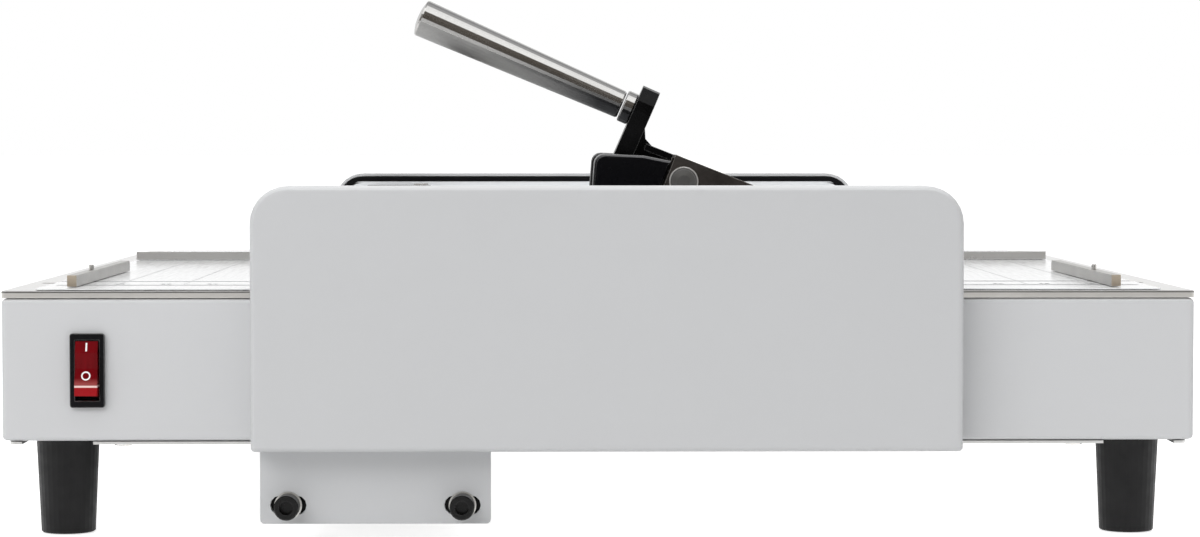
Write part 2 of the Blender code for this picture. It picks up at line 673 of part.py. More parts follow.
def build_bottom_frame(material):
    """A flat frame inside the housing's lower edge, to which the feet are screwed."""
    low = BASE_BOTTOM_Z
    high = low + FRAME_THICKNESS
    inset = BASE_LIP_WIDTH + GAP
    outer = (HALF_WIDTH - inset, HALF_DEPTH - inset, BASE_CORNER_RADIUS)
    inner = (HALF_WIDTH - FRAME_REACH, HALF_DEPTH - FRAME_REACH, BASE_CORNER_RADIUS)
    rings = [box_ring(*outer, low), box_ring(*outer, high), box_ring(*inner, high), box_ring(*inner, low)]
    frame = add_piece("bottom_frame", loft(rings, closed=True), material)
    cut(frame, [chute_mouth(low - OVERRUN, high + OVERRUN)])


def rack_passage(side, low, high):
    """A cutter around one rack of the knife beam."""
    left = RACK_PITCH_X - RACK_MODULE - SLOT_MARGIN
    right = RACK_PITCH_X + RACK_MODULE + RACK_BACK + SLOT_MARGIN
    middle = side * GUIDE_Y
    return block(
        (left, middle - RACK_WIDTH / 2 - SLOT_MARGIN, low),
        (right, middle + RACK_WIDTH / 2 + SLOT_MARGIN, high),
    )


def foot_places():
    x = HALF_WIDTH - FOOT_INSET_X
    y = HALF_DEPTH - FOOT_INSET_Y
    return {
        "front_left": (-x, -y),
        "front_right": (x, -y),
        "rear_left": (-x, y),
        "rear_right": (x, y),
    }


def build_feet(material):
    slope = (FOOT_TOP_RADIUS - FOOT_BOTTOM_RADIUS) / FOOT_HEIGHT
    for place_name, centre in foot_places().items():
        profile = [
            (FOOT_BOTTOM_RADIUS - FOOT_CHAMFER, 0),
            (FOOT_BOTTOM_RADIUS + slope * FOOT_CHAMFER, FOOT_CHAMFER),
            (FOOT_TOP_RADIUS - slope * FOOT_CHAMFER, FOOT_HEIGHT - FOOT_CHAMFER),
            (FOOT_TOP_RADIUS - FOOT_CHAMFER / 2, FOOT_HEIGHT),
        ]
        foot = add_piece(f"foot_{place_name}", lathe(profile, "XY", centre, FINE_STEPS), material)
        cut(foot, [cylinder("XY", centre, FOOT_BORE_RADIUS, -OVERRUN, FOOT_BORE_DEPTH, 12)])


def build_bottom_plate(material):
    high = BASE_BOTTOM_Z - GAP
    low = high - BOTTOM_PLATE_THICKNESS
    x = HALF_WIDTH - BOTTOM_PLATE_INSET_X
    y = HALF_DEPTH - BOTTOM_PLATE_INSET_Y
    outline = rounded_rectangle((-x, -y), (x, y), (BASE_CORNER_RADIUS,) * 4)
    plate = add_piece("bottom_plate", prism(outline, "XY", low, high), material)
    holes = [chute_mouth(low - OVERRUN, high + OVERRUN)]
    reach = FOOT_TOP_RADIUS + FOOT_NOTCH_MARGIN
    for centre in foot_places().values():
        side = math.copysign(1, centre[1])
        near, far = sorted((centre[1] - side * reach, side * (HALF_DEPTH + OVERRUN)))
        across = (centre[0] - reach, centre[0] + reach)
        holes.append(stack_between(low - OVERRUN, high + OVERRUN, across, (near, far)))
    cut(plate, holes)


# Table: a folded stainless tray, the white panel on it and the rear fences


def table_cutters(low, high):
    """Every opening that passes through both the tray and the panel."""
    cutters = [
        stack_between(
            low,
            high,
            (FOLD_X - KNIFE_SLOT_WIDTH / 2, FOLD_X + KNIFE_SLOT_WIDTH / 2),
            (KNIFE_FRONT_Y - SLOT_MARGIN, KNIFE_REAR_Y + SLOT_MARGIN),
        )
    ]
    for side in (-1, 1):
        cutters.append(rack_passage(side, low, high))
        cutters.append(cylinder("XY", (FOLD_X, side * GUIDE_Y), GUIDE_ROD_RADIUS + GAP, low, high, 16))
        near_x = STOP_INNER_XS[side] - side * STOP_TRAVEL_IN
        far_x = STOP_INNER_XS[side] + side * (STOP_TRAVEL_OUT + STOP_BAR_THICKNESS)
        length = abs(far_x - near_x) + STOP_SLOT_WIDTH
        centre = ((near_x + far_x) / 2, STOP_SLOT_Y)
        cutters.append(prism(slot_outline(centre, length, STOP_SLOT_WIDTH), "XY", low, high))
    for y in STAPLER_YS:
        cutters.append(
            stack_between(
                low,
                high,
                (ANVIL_X - ANVIL_HALF_LENGTH - GAP, ANVIL_X + ANVIL_HALF_LENGTH + GAP),
                (y - ANVIL_HALF_DEPTH - GAP, y + ANVIL_HALF_DEPTH + GAP),
            )
        )
    return cutters


def build_table_plate(material):
    low = TABLE_BOTTOM_Z
    high = TABLE_TOP_Z
    edge = TABLE_EDGE_RADIUS
    rings = [
        box_ring(HALF_WIDTH - edge, HALF_DEPTH - edge, TABLE_CORNER_RADIUS, high),
        box_ring(HALF_WIDTH - edge / 3, HALF_DEPTH - edge / 3, TABLE_CORNER_RADIUS, high - edge / 3),
        box_ring(HALF_WIDTH, HALF_DEPTH, TABLE_CORNER_RADIUS, high - edge),
        box_ring(HALF_WIDTH, HALF_DEPTH, TABLE_CORNER_RADIUS, low),
        box_ring(HALF_WIDTH - TABLE_SHEET, HALF_DEPTH - TABLE_SHEET, TABLE_CORNER_RADIUS, low),
        box_ring(HALF_WIDTH - TABLE_SHEET, HALF_DEPTH - TABLE_SHEET, TABLE_CORNER_RADIUS, high - TABLE_SHEET),
    ]
    tray = add_piece("table_plate", loft(rings), material)
    cut(tray, table_cutters(low - OVERRUN, high + OVERRUN))


def build_surface_panel(material):
    x = HALF_WIDTH - PANEL_SIDE_INSET
    y = HALF_DEPTH - PANEL_FRONT_INSET
    outline = rounded_rectangle((-x, -y), (x, y), (BASE_CORNER_RADIUS,) * 4)
    panel = add_piece("surface_panel", prism(outline, "XY", PANEL_BOTTOM_Z, PANEL_TOP_Z), material)
    cut(panel, table_cutters(PANEL_BOTTOM_Z - OVERRUN, PANEL_TOP_Z + OVERRUN))


def build_rear_fences(material):
    low = PANEL_TOP_Z + GAP
    front = FENCE_Y
    back = FENCE_Y + FENCE_FOOT_DEPTH
    outline = [
        (front, low),
        (back, low),
        (back, low + FENCE_FOOT_THICKNESS),
        (front + FENCE_WALL, low + FENCE_FOOT_THICKNESS),
        (front + FENCE_WALL, low + FENCE_HEIGHT),
        (front, low + FENCE_HEIGHT),
    ]
    spans = (("left", -FENCE_OUTER_X, -FENCE_INNER_X), ("right", FENCE_INNER_X, FENCE_OUTER_X))
    for name, start, end in spans:
        add_piece(f"rear_fence_{name}", prism(outline, "YZ", start, end), material)


# Side covers with their edge trims, and the side plates inside them


def cover_ring(inset, y, bottom_inset=None):
    bottom_inset = inset if bottom_inset is None else bottom_inset
    low = (COVER_LEFT_X + inset, COVER_BOTTOM_Z + bottom_inset)
    high = (COVER_RIGHT_X - inset, COVER_TOP_Z - inset)
    small = max(COVER_BOTTOM_RADIUS - inset, COVER_BOTTOM_RADIUS / 4)
    large = COVER_TOP_RADIUS - inset
    outline = rounded_rectangle(low, high, (small, small, large, large), COVER_CORNER_STEPS)
    return [(x, y, z) for x, z in outline]


def bent_rings(side, inset, radius, face_y, rim_y):
    """Rings from a pan's face round its bend to its rim."""
    rings = []
    steps = ARC_STEPS
    for i in range(steps + 1):
        angle = math.pi / 2 * i / steps
        y = face_y - radius * (1 - math.cos(angle))
        rings.append(cover_ring(inset + radius * (1 - math.sin(angle)), side * y))
    rings.append(cover_ring(inset, side * rim_y))
    return rings


def build_cover(name, side, cover_material, trim_material):
    inner_face_y = COVER_FACE_Y - COVER_SHEET
    inner = bent_rings(side, COVER_SHEET, COVER_BEND_RADIUS - COVER_SHEET, inner_face_y, COVER_RIM_Y)
    outer = bent_rings(side, 0, COVER_BEND_RADIUS, COVER_FACE_Y, COVER_RIM_Y)
    cover = add_piece(f"{name}_cover", loft(inner + outer[::-1]), cover_material)
    bosses = []
    for centre in COVER_BOSS_PLACES:
        near, far = sorted((side * (PLATE_OUTER_Y + GAP), side * (inner_face_y + COVER_SHEET / 2)))
        bosses.append(cylinder("XZ", centre, COVER_BOSS_RADIUS, near, far, 16))
    join(cover, [merged(bosses)])
    near, far = sorted((side * (PLATE_INNER_Y - OVERRUN), side * (PLATE_OUTER_Y + GAP)))
    tongue_passage = block(
        (TONGUE_LEFT_X - GAP, near, COVER_BOTTOM_Z - OVERRUN),
        (TONGUE_RIGHT_X + GAP, far, COVER_BOTTOM_Z + COVER_SHEET + OVERRUN),
    )
    cut(cover, [tongue_passage])

    outer_inset = COVER_SHEET + GAP
    inner_inset = outer_inset + TRIM_THICKNESS
    near_y = side * COVER_RIM_Y
    far_y = side * (COVER_RIM_Y + TRIM_DEPTH)
    rings = [
        cover_ring(outer_inset, near_y),
        cover_ring(outer_inset, far_y),
        cover_ring(inner_inset, far_y),
        cover_ring(inner_inset, near_y),
    ]
    trim = add_piece(f"{name}_cover_trim", loft(rings, closed=True), trim_material)
    near, far = sorted((near_y - side * OVERRUN, far_y + side * OVERRUN))
    below_table = block(
        (COVER_LEFT_X, near, COVER_BOTTOM_Z),
        (COVER_RIGHT_X, far, PANEL_TOP_Z + TRIM_BOTTOM_ABOVE_TABLE),
    )
    cut(trim, [below_table])


def side_plate_outline():
    """The plate fills the trim above the table, and hangs below the base as a tongue."""
    lower_inset = COVER_SHEET + SIDE_PLATE_MARGIN
    upper_inset = lower_inset + TRIM_THICKNESS + GAP
    lower_right = COVER_RIGHT_X - lower_inset
    upper_left = COVER_LEFT_X + upper_inset
    upper_right = COVER_RIGHT_X - upper_inset
    top = COVER_TOP_Z - upper_inset
    corner = COVER_TOP_RADIUS - upper_inset
    shoulder = PANEL_TOP_Z
    bottom = COVER_BOTTOM_Z + lower_inset
    small = TONGUE_CORNER
    tongue_z = TONGUE_BOTTOM_Z + small
    turn = math.pi / 2
    points = arc((TONGUE_LEFT_X + small, tongue_z), small, 2 * turn, 3 * turn, ARC_STEPS)
    points += arc((TONGUE_RIGHT_X - small, tongue_z), small, 3 * turn, 4 * turn, ARC_STEPS)
    points += [(TONGUE_RIGHT_X, bottom), (lower_right, bottom)]
    points += [(lower_right, shoulder), (upper_right, shoulder)]
    points += arc((upper_right - corner, top - corner), corner, 0, turn, ARC_STEPS)
    points += arc((upper_left + corner, top - corner), corner, turn, 2 * turn, ARC_STEPS)
    points += [(upper_left, shoulder), (TONGUE_LEFT_X, shoulder)]
    return points


def build_side_plate(name, side, material):
    near, far = sorted((side * PLATE_INNER_Y, side * PLATE_OUTER_Y))
    plate = add_piece(f"{name}_side_plate", prism(side_plate_outline(), "XZ", near, far), material)
    low = near - OVERRUN
    high = far + OVERRUN
    shaft_hole = ROLLER_SHAFT_RADIUS + 2 * RUNNING_CLEARANCE
    pinion_hole = PINION_SHAFT_RADIUS + 2 * RUNNING_CLEARANCE
    holes = [
        cylinder("XZ", (LEFT_ROLLER_X, ROLLER_Z), shaft_hole, low, high),
        cylinder("XZ", (RIGHT_ROLLER_X, ROLLER_Z), shaft_hole, low, high),
        cylinder("XZ", (PINION_SHAFT_X, ROLLER_Z), pinion_hole, low, high),
        cylinder("XZ", (PIVOT_X, PIVOT_Z), PIVOT_RADIUS + GAP, low, high, FINE_STEPS),
    ]
    if side < 0:
        shaft_hole = MOTOR_SHAFT_RADIUS + 2 * RUNNING_CLEARANCE
        holes.append(cylinder("XZ", (MOTOR_X, MOTOR_Z), shaft_hole, low, high))
    for x in TIE_XS.values():
        holes.append(prism(slot_outline((x, TIE_Z), TIE_SLOT_LENGTH, TIE_SLOT_HEIGHT), "XZ", low, high))
    cut(plate, holes)


# Folding unit: bearing plates, rollers with their gears, motor, knife and chute


def build_bearing_plate(name, side, material):
    near, far = sorted((side * FRONT_BEARING_FACE_Y, side * HALF_DEPTH))
    outline = rounded_rectangle(
        (BEARING_PLATE_LEFT_X, BEARING_PLATE_BOTTOM_Z),
        (BEARING_PLATE_RIGHT_X, BEARING_PLATE_TOP_Z),
        (BEARING_PLATE_CORNER,) * 4,
    )
    plate = add_piece(f"{name}_bearing_plate", prism(outline, "XZ", near, far), material)
    low = near - OVERRUN
    high = far + OVERRUN
    shaft_hole = ROLLER_SHAFT_RADIUS + RUNNING_CLEARANCE
    holes = [
        cylinder("XZ", (LEFT_ROLLER_X, ROLLER_Z), shaft_hole, low, high),
        cylinder("XZ", (RIGHT_ROLLER_X, ROLLER_Z), shaft_hole, low, high),
        cylinder("XZ", (PINION_SHAFT_X, ROLLER_Z), PINION_SHAFT_RADIUS + RUNNING_CLEARANCE, low, high),
    ]
    if side < 0:
        holes.append(cylinder("XZ", (MOTOR_X, MOTOR_Z), MOTOR_SHAFT_RADIUS + RUNNING_CLEARANCE, low, high))
    cut(plate, holes)


def gear_outline(teeth, module, centre, phase):
    """Spur gear teeth as tapered blocks with slack at the pitch circle; a tooth stands at the phase."""
    pitch = module * teeth / 2
    pitch_angle = 2 * math.pi / teeth
    rows = (
        (pitch - TOOTH_ROOT_SHARE * module, TOOTH_ROOT_WIDTH_SHARE),
        (pitch, TOOTH_PITCH_WIDTH_SHARE),
        (pitch + TOOTH_TIP_SHARE * module, TOOTH_TIP_WIDTH_SHARE),
    )
    points = []
    for i in range(teeth):
        middle = phase + i * pitch_angle
        flank = [(radius, -share * pitch_angle / 2) for radius, share in rows]
        flank += [(radius, share * pitch_angle / 2) for radius, share in reversed(rows)]
        for radius, offset in flank:
            angle = middle + offset
            points.append((centre[0] + radius * math.cos(angle), centre[1] + radius * math.sin(angle)))
    return points


def meshing_phase(phase, teeth, mate_teeth, bearing):
    """The mate's phase that puts a gap of it against the first gear's tooth along their centre line."""
    turns = (bearing - phase) * teeth / (2 * math.pi)
    return bearing + math.pi - (0.5 - turns) * 2 * math.pi / mate_teeth


def build_gear(name, centre, teeth, phase, hub_radius, material, pivot):
    """A spur gear outside the front side plate, with its face recessed between hub and rim."""
    near = -PLATE_OUTER_Y - GEAR_WALL_GAP - GEAR_WIDTH
    outline = gear_outline(teeth, GEAR_MODULE, centre, phase)
    gear = add_piece(name, prism(outline, "XZ", near, near + GEAR_WIDTH), material, pivot)
    rim_radius = GEAR_MODULE * (teeth / 2 - TOOTH_ROOT_SHARE) - GEAR_BORE_WALL
    depth = GEAR_WIDTH / 4
    profile = [
        (hub_radius, near - OVERRUN),
        (hub_radius, near + depth),
        (rim_radius, near + depth),
        (rim_radius, near - OVERRUN),
    ]
    cut(gear, [lathe(profile, "XZ", centre, closed=True)])
    return gear


def build_roller(name, x, material, pivot):
    edge = ROLLER_EDGE
    half = ROLLER_HALF_LENGTH
    shaft_rear = PLATE_OUTER_Y
    shaft_front = -PLATE_OUTER_Y - GEAR_WALL_GAP - GEAR_WIDTH
    profile = [
        (ROLLER_SHAFT_RADIUS, shaft_front),
        (ROLLER_SHAFT_RADIUS, -half),
        (ROLLER_RADIUS - edge, -half),
        (ROLLER_RADIUS, -half + edge),
        (ROLLER_RADIUS, half - edge),
        (ROLLER_RADIUS - edge, half),
        (ROLLER_SHAFT_RADIUS, half),
        (ROLLER_SHAFT_RADIUS, shaft_rear),
    ]
    add_piece(name, lathe(profile, "XZ", (x, ROLLER_Z), FINE_STEPS), material, pivot)


def build_rollers(rubber, steel):
    """Two rollers geared together, and the motor's gear that drives the right one."""
    near = -PLATE_OUTER_Y - GEAR_WALL_GAP - GEAR_WIDTH
    far = near + GEAR_WIDTH
    bore = ROLLER_SHAFT_RADIUS + GAP
    left_phase = meshing_phase(0, ROLLER_GEAR_TEETH, ROLLER_GEAR_TEETH, math.pi)
    for name, x, phase in (("right", RIGHT_ROLLER_X, 0), ("left", LEFT_ROLLER_X, left_phase)):
        pivot = add_pivot(f"{name}_roller_axis", (x, 0, ROLLER_Z))
        build_roller(f"fold_roller_{name}", x, rubber, pivot)
        centre = (x, ROLLER_Z)
        hub = bore + GEAR_BORE_WALL
        gear = build_gear(f"roller_gear_{name}", centre, ROLLER_GEAR_TEETH, phase, hub, steel, pivot)
        cut(gear, [cylinder("XZ", centre, bore, near - OVERRUN, far + OVERRUN)])

    pivot = add_pivot("drive_gear_axis", (MOTOR_X, 0, MOTOR_Z))
    phase = meshing_phase(0, ROLLER_GEAR_TEETH, DRIVE_GEAR_TEETH, DRIVE_GEAR_BEARING)
    centre = (MOTOR_X, MOTOR_Z)
    hub = MOTOR_SHAFT_RADIUS + GEAR_BORE_WALL
    gear = build_gear("drive_gear", centre, DRIVE_GEAR_TEETH, phase, hub, steel, pivot)
    shaft_end = -FRONT_BEARING_FACE_Y - GAP
    join(gear, [cylinder("XZ", centre, MOTOR_SHAFT_RADIUS, near + GEAR_WIDTH / 2, shaft_end)])


def build_fold_motor(material):
    front = -FRONT_BEARING_FACE_Y + GAP
    back = front + MOTOR_LENGTH
    cap = MOTOR_CAP_LENGTH
    step = MOTOR_CAP_STEP
    profile = [
        (MOTOR_RADIUS, front),
        (MOTOR_RADIUS, front + cap),
        (MOTOR_RADIUS - step, front + cap),
        (MOTOR_RADIUS - step, back - cap),
        (MOTOR_RADIUS - 2 * step, back - cap),
        (MOTOR_RADIUS - 2 * step, back),
    ]
    motor = add_piece("fold_motor", lathe(profile, "XZ", (MOTOR_X, MOTOR_Z), FINE_STEPS), material)
    bore = MOTOR_SHAFT_RADIUS + RUNNING_CLEARANCE
    cut(motor, [cylinder("XZ", (MOTOR_X, MOTOR_Z), bore, front - OVERRUN, front + cap / 4)])


def build_knife(knife_material, beam_material, pivot):
    half = KNIFE_THICKNESS / 2
    seat = BEAM_BOTTOM_Z + KNIFE_SEAT_DEPTH
    outline = [
        (FOLD_X - half / 2, KNIFE_EDGE_Z),
        (FOLD_X + half / 2, KNIFE_EDGE_Z),
        (FOLD_X + half, KNIFE_EDGE_Z + KNIFE_THICKNESS),
        (FOLD_X + half, seat),
        (FOLD_X - half, seat),
        (FOLD_X - half, KNIFE_EDGE_Z + KNIFE_THICKNESS),
    ]
    add_piece("fold_knife", prism(outline, "XZ", KNIFE_FRONT_Y, KNIFE_REAR_Y), knife_material, pivot)

    end = GUIDE_Y + BEAM_END_HALF_DEPTH
    left = RACK_PITCH_X - RACK_MODULE
    right = FOLD_X + BEAM_DEPTH / 2
    chamfer = SLOT_MARGIN
    outline = [
        (FOLD_X - BEAM_DEPTH / 2, BEAM_BOTTOM_Z),
        (right, BEAM_BOTTOM_Z),
        (right, BEAM_TOP_Z - chamfer),
        (right - chamfer, BEAM_TOP_Z),
        (FOLD_X - BEAM_DEPTH / 2 + chamfer, BEAM_TOP_Z),
        (FOLD_X - BEAM_DEPTH / 2, BEAM_TOP_Z - chamfer),
    ]
    beam = add_piece("knife_beam", prism(outline, "XZ", -end, end), beam_material, pivot)
    for side in (-1, 1):
        middle = side * GUIDE_Y
        low_y = middle - BEAM_END_HALF_DEPTH
        high_y = middle + BEAM_END_HALF_DEPTH
        arm = block((left, low_y, BEAM_BOTTOM_Z), (FOLD_X, high_y, BEAM_TOP_Z))
        rack = prism(rack_outline(), "XZ", middle - RACK_WIDTH / 2, middle + RACK_WIDTH / 2)
        join(beam, [arm, rack])
    low = BEAM_BOTTOM_Z - OVERRUN
    high = BEAM_TOP_Z + OVERRUN
    bore = GUIDE_ROD_RADIUS + RUNNING_CLEARANCE
    cutters = [cylinder("XY", (FOLD_X, side * GUIDE_Y), bore, low, high) for side in (-1, 1)]
    cutters.append(
        block(
            (FOLD_X - half - GAP, KNIFE_FRONT_Y - GAP, BEAM_BOTTOM_Z - OVERRUN),
            (FOLD_X + half + GAP, KNIFE_REAR_Y + GAP, seat + GAP),
        )
    )
    cut(beam, cutters)


def rack_outline():
    """A bar hanging from the beam, toothed on its left where the pinion runs."""
    back = RACK_PITCH_X + RACK_MODULE + RACK_BACK
    root = RACK_PITCH_X + TOOTH_ROOT_SHARE * RACK_MODULE
    tip = RACK_PITCH_X - TOOTH_TIP_SHARE * RACK_MODULE
    pitch = math.pi * RACK_MODULE
    points = [(back, BEAM_TOP_Z - OVERRUN), (root, BEAM_TOP_Z - OVERRUN)]
    top = ROLLER_Z + pitch / 2 + pitch * (round(KNIFE_TRAVEL / pitch) + RACK_SPARE_TEETH)
    count = round((top - RACK_BOTTOM_Z) / pitch)
    for i in range(count):
        middle = top - i * pitch
        for x, share in ((root, TOOTH_ROOT_WIDTH_SHARE), (tip, TOOTH_TIP_WIDTH_SHARE)):
            points.append((x, middle + share * pitch / 2))
        for x, share in ((tip, TOOTH_TIP_WIDTH_SHARE), (root, TOOTH_ROOT_WIDTH_SHARE)):
            points.append((x, middle - share * pitch / 2))
    points += [(root, RACK_BOTTOM_Z), (back, RACK_BOTTOM_Z)]
    return points


def build_guide_rods(material):
    for name, side in (("front", -1), ("rear", 1)):
        edge = SLOT_MARGIN / 2
        profile = [
            (GUIDE_ROD_RADIUS, TABLE_BOTTOM_Z),
            (GUIDE_ROD_RADIUS, GUIDE_ROD_TOP_Z - edge),
            (GUIDE_ROD_RADIUS - edge, GUIDE_ROD_TOP_Z),
        ]
        add_piece(f"guide_rod_{name}", lathe(profile, "XY", (FOLD_X, side * GUIDE_Y)), material)


def build_pinion_shaft(material):
    centre = (PINION_SHAFT_X, ROLLER_Z)
    pivot = add_pivot("pinion_shaft_axis", (PINION_SHAFT_X, 0, ROLLER_Z))
    shaft = add_piece(
        "pinion_shaft",
        cylinder("XZ", centre, PINION_SHAFT_RADIUS, -PLATE_OUTER_Y, PLATE_OUTER_Y),
        material,
        pivot,
    )
    for side in (-1, 1):
        middle = side * GUIDE_Y
        outline = gear_outline(PINION_TEETH, RACK_MODULE, centre, 0)
        join(shaft, [prism(outline, "XZ", middle - RACK_WIDTH / 2 + GAP, middle + RACK_WIDTH / 2 - GAP)])


def build_knife_motor(material):
    """A hollow-shaft gear motor round the pinion shaft, standing on the bottom plate."""
    left = PINION_SHAFT_X - KNIFE_MOTOR_LEFT
    right = PINION_SHAFT_X + KNIFE_MOTOR_RIGHT
    half = KNIFE_MOTOR_HALF_HEIGHT
    edge = KNIFE_MOTOR_EDGE
    foot_right = left + 2 * KNIFE_MOTOR_FOOT
    foot_z = BASE_BOTTOM_Z
    outline = [
        (left + edge, ROLLER_Z + half),
        (left, ROLLER_Z + half - edge),
        (left, foot_z),
        (foot_right, foot_z),
        (foot_right, ROLLER_Z - half),
        (right - edge, ROLLER_Z - half),
        (right, ROLLER_Z - half + edge),
        (right, ROLLER_Z + half - edge),
        (right - edge, ROLLER_Z + half),
    ]
    length = KNIFE_MOTOR_HALF_LENGTH
    motor = add_piece("knife_motor", prism(outline, "XZ", -length, length), material)
    hole = PINION_SHAFT_RADIUS + RUNNING_CLEARANCE
    centre = (PINION_SHAFT_X, ROLLER_Z)
    cut(motor, [cylinder("XZ", centre, hole, -length - OVERRUN, length + OVERRUN)])
    between_feet = block(
        (left - OVERRUN, -length + KNIFE_MOTOR_FOOT, foot_z - OVERRUN),
        (foot_right + OVERRUN, length - KNIFE_MOTOR_FOOT, ROLLER_Z - half - edge),
    )
    cut(motor, [between_feet])


def thick_path(points, thickness):
    """Outline of a bent sheet seen edge on, given the line along its middle."""
    left = []
    right = []
    for i, point in enumerate(points):
        before = Vector(points[max(i - 1, 0)])
        after = Vector(points[min(i + 1, len(points) - 1)])
        along = (after - before).normalized()
        across = Vector((-along.y, along.x)) * thickness / 2
        left.append(tuple(Vector(point) + across))
        right.append(tuple(Vector(point) - across))
    return left + right[::-1]


def build_exit_guides(material):
    for name, side in (("left", -1), ("right", 1)):
        centre = (TIE_XS[name], TIE_Z)
        radius = TIE_BOLT_RADIUS + CHUTE_EYE_GAP + CHUTE_SHEET / 2
        top = (FOLD_X + side * CHUTE_TOP_HALF_GAP, CHUTE_TOP_Z)
        lip = (FOLD_X + side * 2 * CHUTE_TOP_HALF_GAP, CHUTE_TOP_Z + CHUTE_TOP_HALF_GAP / 2)
        inner = 0 if side < 0 else math.pi
        eye = arc(centre, radius, inner + side * math.radians(280), inner, CHUTE_EYE_STEPS)
        path = eye + [top, lip]
        outline = thick_path(path, CHUTE_SHEET)
        add_piece(f"exit_guide_{name}", prism(outline, "XZ", -CHUTE_HALF_LENGTH, CHUTE_HALF_LENGTH), material)


def build_tie_bolts(material):
    head_start = -PLATE_OUTER_Y - GAP
    washer_end = head_start - TIE_WASHER_THICKNESS
    head_end = washer_end - TIE_HEAD_LENGTH
    chamfer = SLOT_MARGIN / 2
    for name, x in TIE_XS.items():
        centre = (x, TIE_Z)
        nut_start = PLATE_OUTER_Y + GAP
        profile = [
            (TIE_SOCKET_RADIUS, head_end + TIE_SOCKET_DEPTH),
            (TIE_SOCKET_RADIUS, head_end),
            (TIE_HEAD_RADIUS - chamfer, head_end),
            (TIE_HEAD_RADIUS, head_end + chamfer),
            (TIE_HEAD_RADIUS, washer_end),
            (TIE_WASHER_RADIUS, washer_end),
            (TIE_WASHER_RADIUS, head_start),
            (TIE_BOLT_RADIUS, head_start),
            (TIE_BOLT_RADIUS, nut_start + TIE_NUT_THICKNESS + OVERRUN),
        ]
        bolt = add_piece(f"tie_bolt_{name}", lathe(profile, "XZ", centre), material)
        nut = prism(circle(centre, TIE_NUT_RADIUS, 6), "XZ", nut_start, nut_start + TIE_NUT_THICKNESS)
        join(bolt, [nut])


# Stapler units: levers, heads, magazines, drivers and anvils


def lever_slope():
    """Fall of the lever's top edge, which is tangent to the hub."""
    run = PIVOT_X - LEVER_TIP_X
    rise = LEVER_TOP_Z - PIVOT_Z
    reach = math.hypot(run, rise)
    return math.atan2(rise, run) - math.asin(LEVER_HUB_RADIUS / reach)


def lever_outline():
    slope = lever_slope()
    pivot = (PIVOT_X, PIVOT_Z)
    up = math.pi / 2 - slope
    points = [(LEVER_TIP_X, LEVER_TOP_Z)]
    drop = (-math.sin(slope) * LEVER_TIP_DROP, -math.cos(slope) * LEVER_TIP_DROP)
    points.append((LEVER_TIP_X + drop[0], LEVER_TOP_Z + drop[1]))
    points += arc(pivot, LEVER_HUB_RADIUS, up - math.pi + slope / 2, up, 2 * ARC_STEPS)
    return points


def build_press_lever(name, y, material, pivot):
    half = LEVER_INNER_HALF_WIDTH + LEVER_SHEET
    slope = lever_slope()
    body = prism(lever_outline(), "XZ", y - half, y + half)
    lever = add_piece(f"press_lever_{name}", body, material, pivot)
    inner = LEVER_INNER_HALF_WIDTH
    low = PIVOT_Z - 2 * LEVER_HUB_RADIUS
    reach = PIVOT_X + 2 * LEVER_HUB_RADIUS
    sheet = LEVER_SHEET / math.cos(slope)
    start = LEVER_TIP_X - LEVER_TIP_DROP
    start_z = LEVER_TOP_Z + LEVER_TIP_DROP * math.tan(slope) - sheet
    web_end = PIVOT_X - LEVER_WEB_END
    web_end_z = start_z - (web_end - start) * math.tan(slope)
    above = PIVOT_Z + 2 * LEVER_WEB_END
    hollow_outline = [
        (start, low),
        (reach, low),
        (reach, above),
        (web_end, above),
        (web_end, web_end_z),
        (start, start_z),
    ]
    hollow = prism(hollow_outline, "XZ", y - inner, y + inner)
    ends = (y - 2 * half, y + 2 * half)
    shaft_hole = cylinder("XZ", (PIVOT_X, PIVOT_Z), PIVOT_RADIUS + RUNNING_CLEARANCE, *ends)
    bar_hole = cylinder("XZ", (PRESS_BAR_X, PRESS_BAR_Z), PRESS_BAR_RADIUS + GAP, *ends)
    cut(lever, [hollow])
    cut(lever, [shaft_hole, bar_hole])

    centre = (RIVET_X, RIVET_Z)
    rivets = []
    for side in (-1, 1):
        face = y + side * half
        profile = [
            (RIVET_RADIUS, face - side * LEVER_SHEET / 2),
            (RIVET_RADIUS, face + side * RIVET_STEP),
            (RIVET_FACE_RADIUS, face + side * RIVET_STEP),
            (RIVET_FACE_RADIUS, face + side * RIVET_HEIGHT / 2),
            (RIVET_FACE_RADIUS / 2, face + side * RIVET_HEIGHT),
        ]
        rivets.append(lathe(profile, "XZ", centre))
    pin = cylinder("XZ", centre, PIN_RADIUS, y - half + LEVER_SHEET / 4, y + half - LEVER_SHEET / 4)
    arm_top = ARM_BOTTOM_Z + ARM_HEIGHT
    arm = [(ARM_TIP_X, ARM_BOTTOM_Z), (RIVET_X, ARM_BOTTOM_Z - ARM_HEIGHT / 2)]
    arm += arc(centre, ARM_EYE_RADIUS, -math.pi / 3, math.pi / 2, 2 * ARC_STEPS)
    arm += [(ARM_TIP_X + 2 * ARM_EYE_RADIUS, arm_top), (ARM_TIP_X, arm_top)]
    join(lever, [*rivets, pin, prism(arm, "XZ", y - ARM_HALF_WIDTH, y + ARM_HALF_WIDTH)])


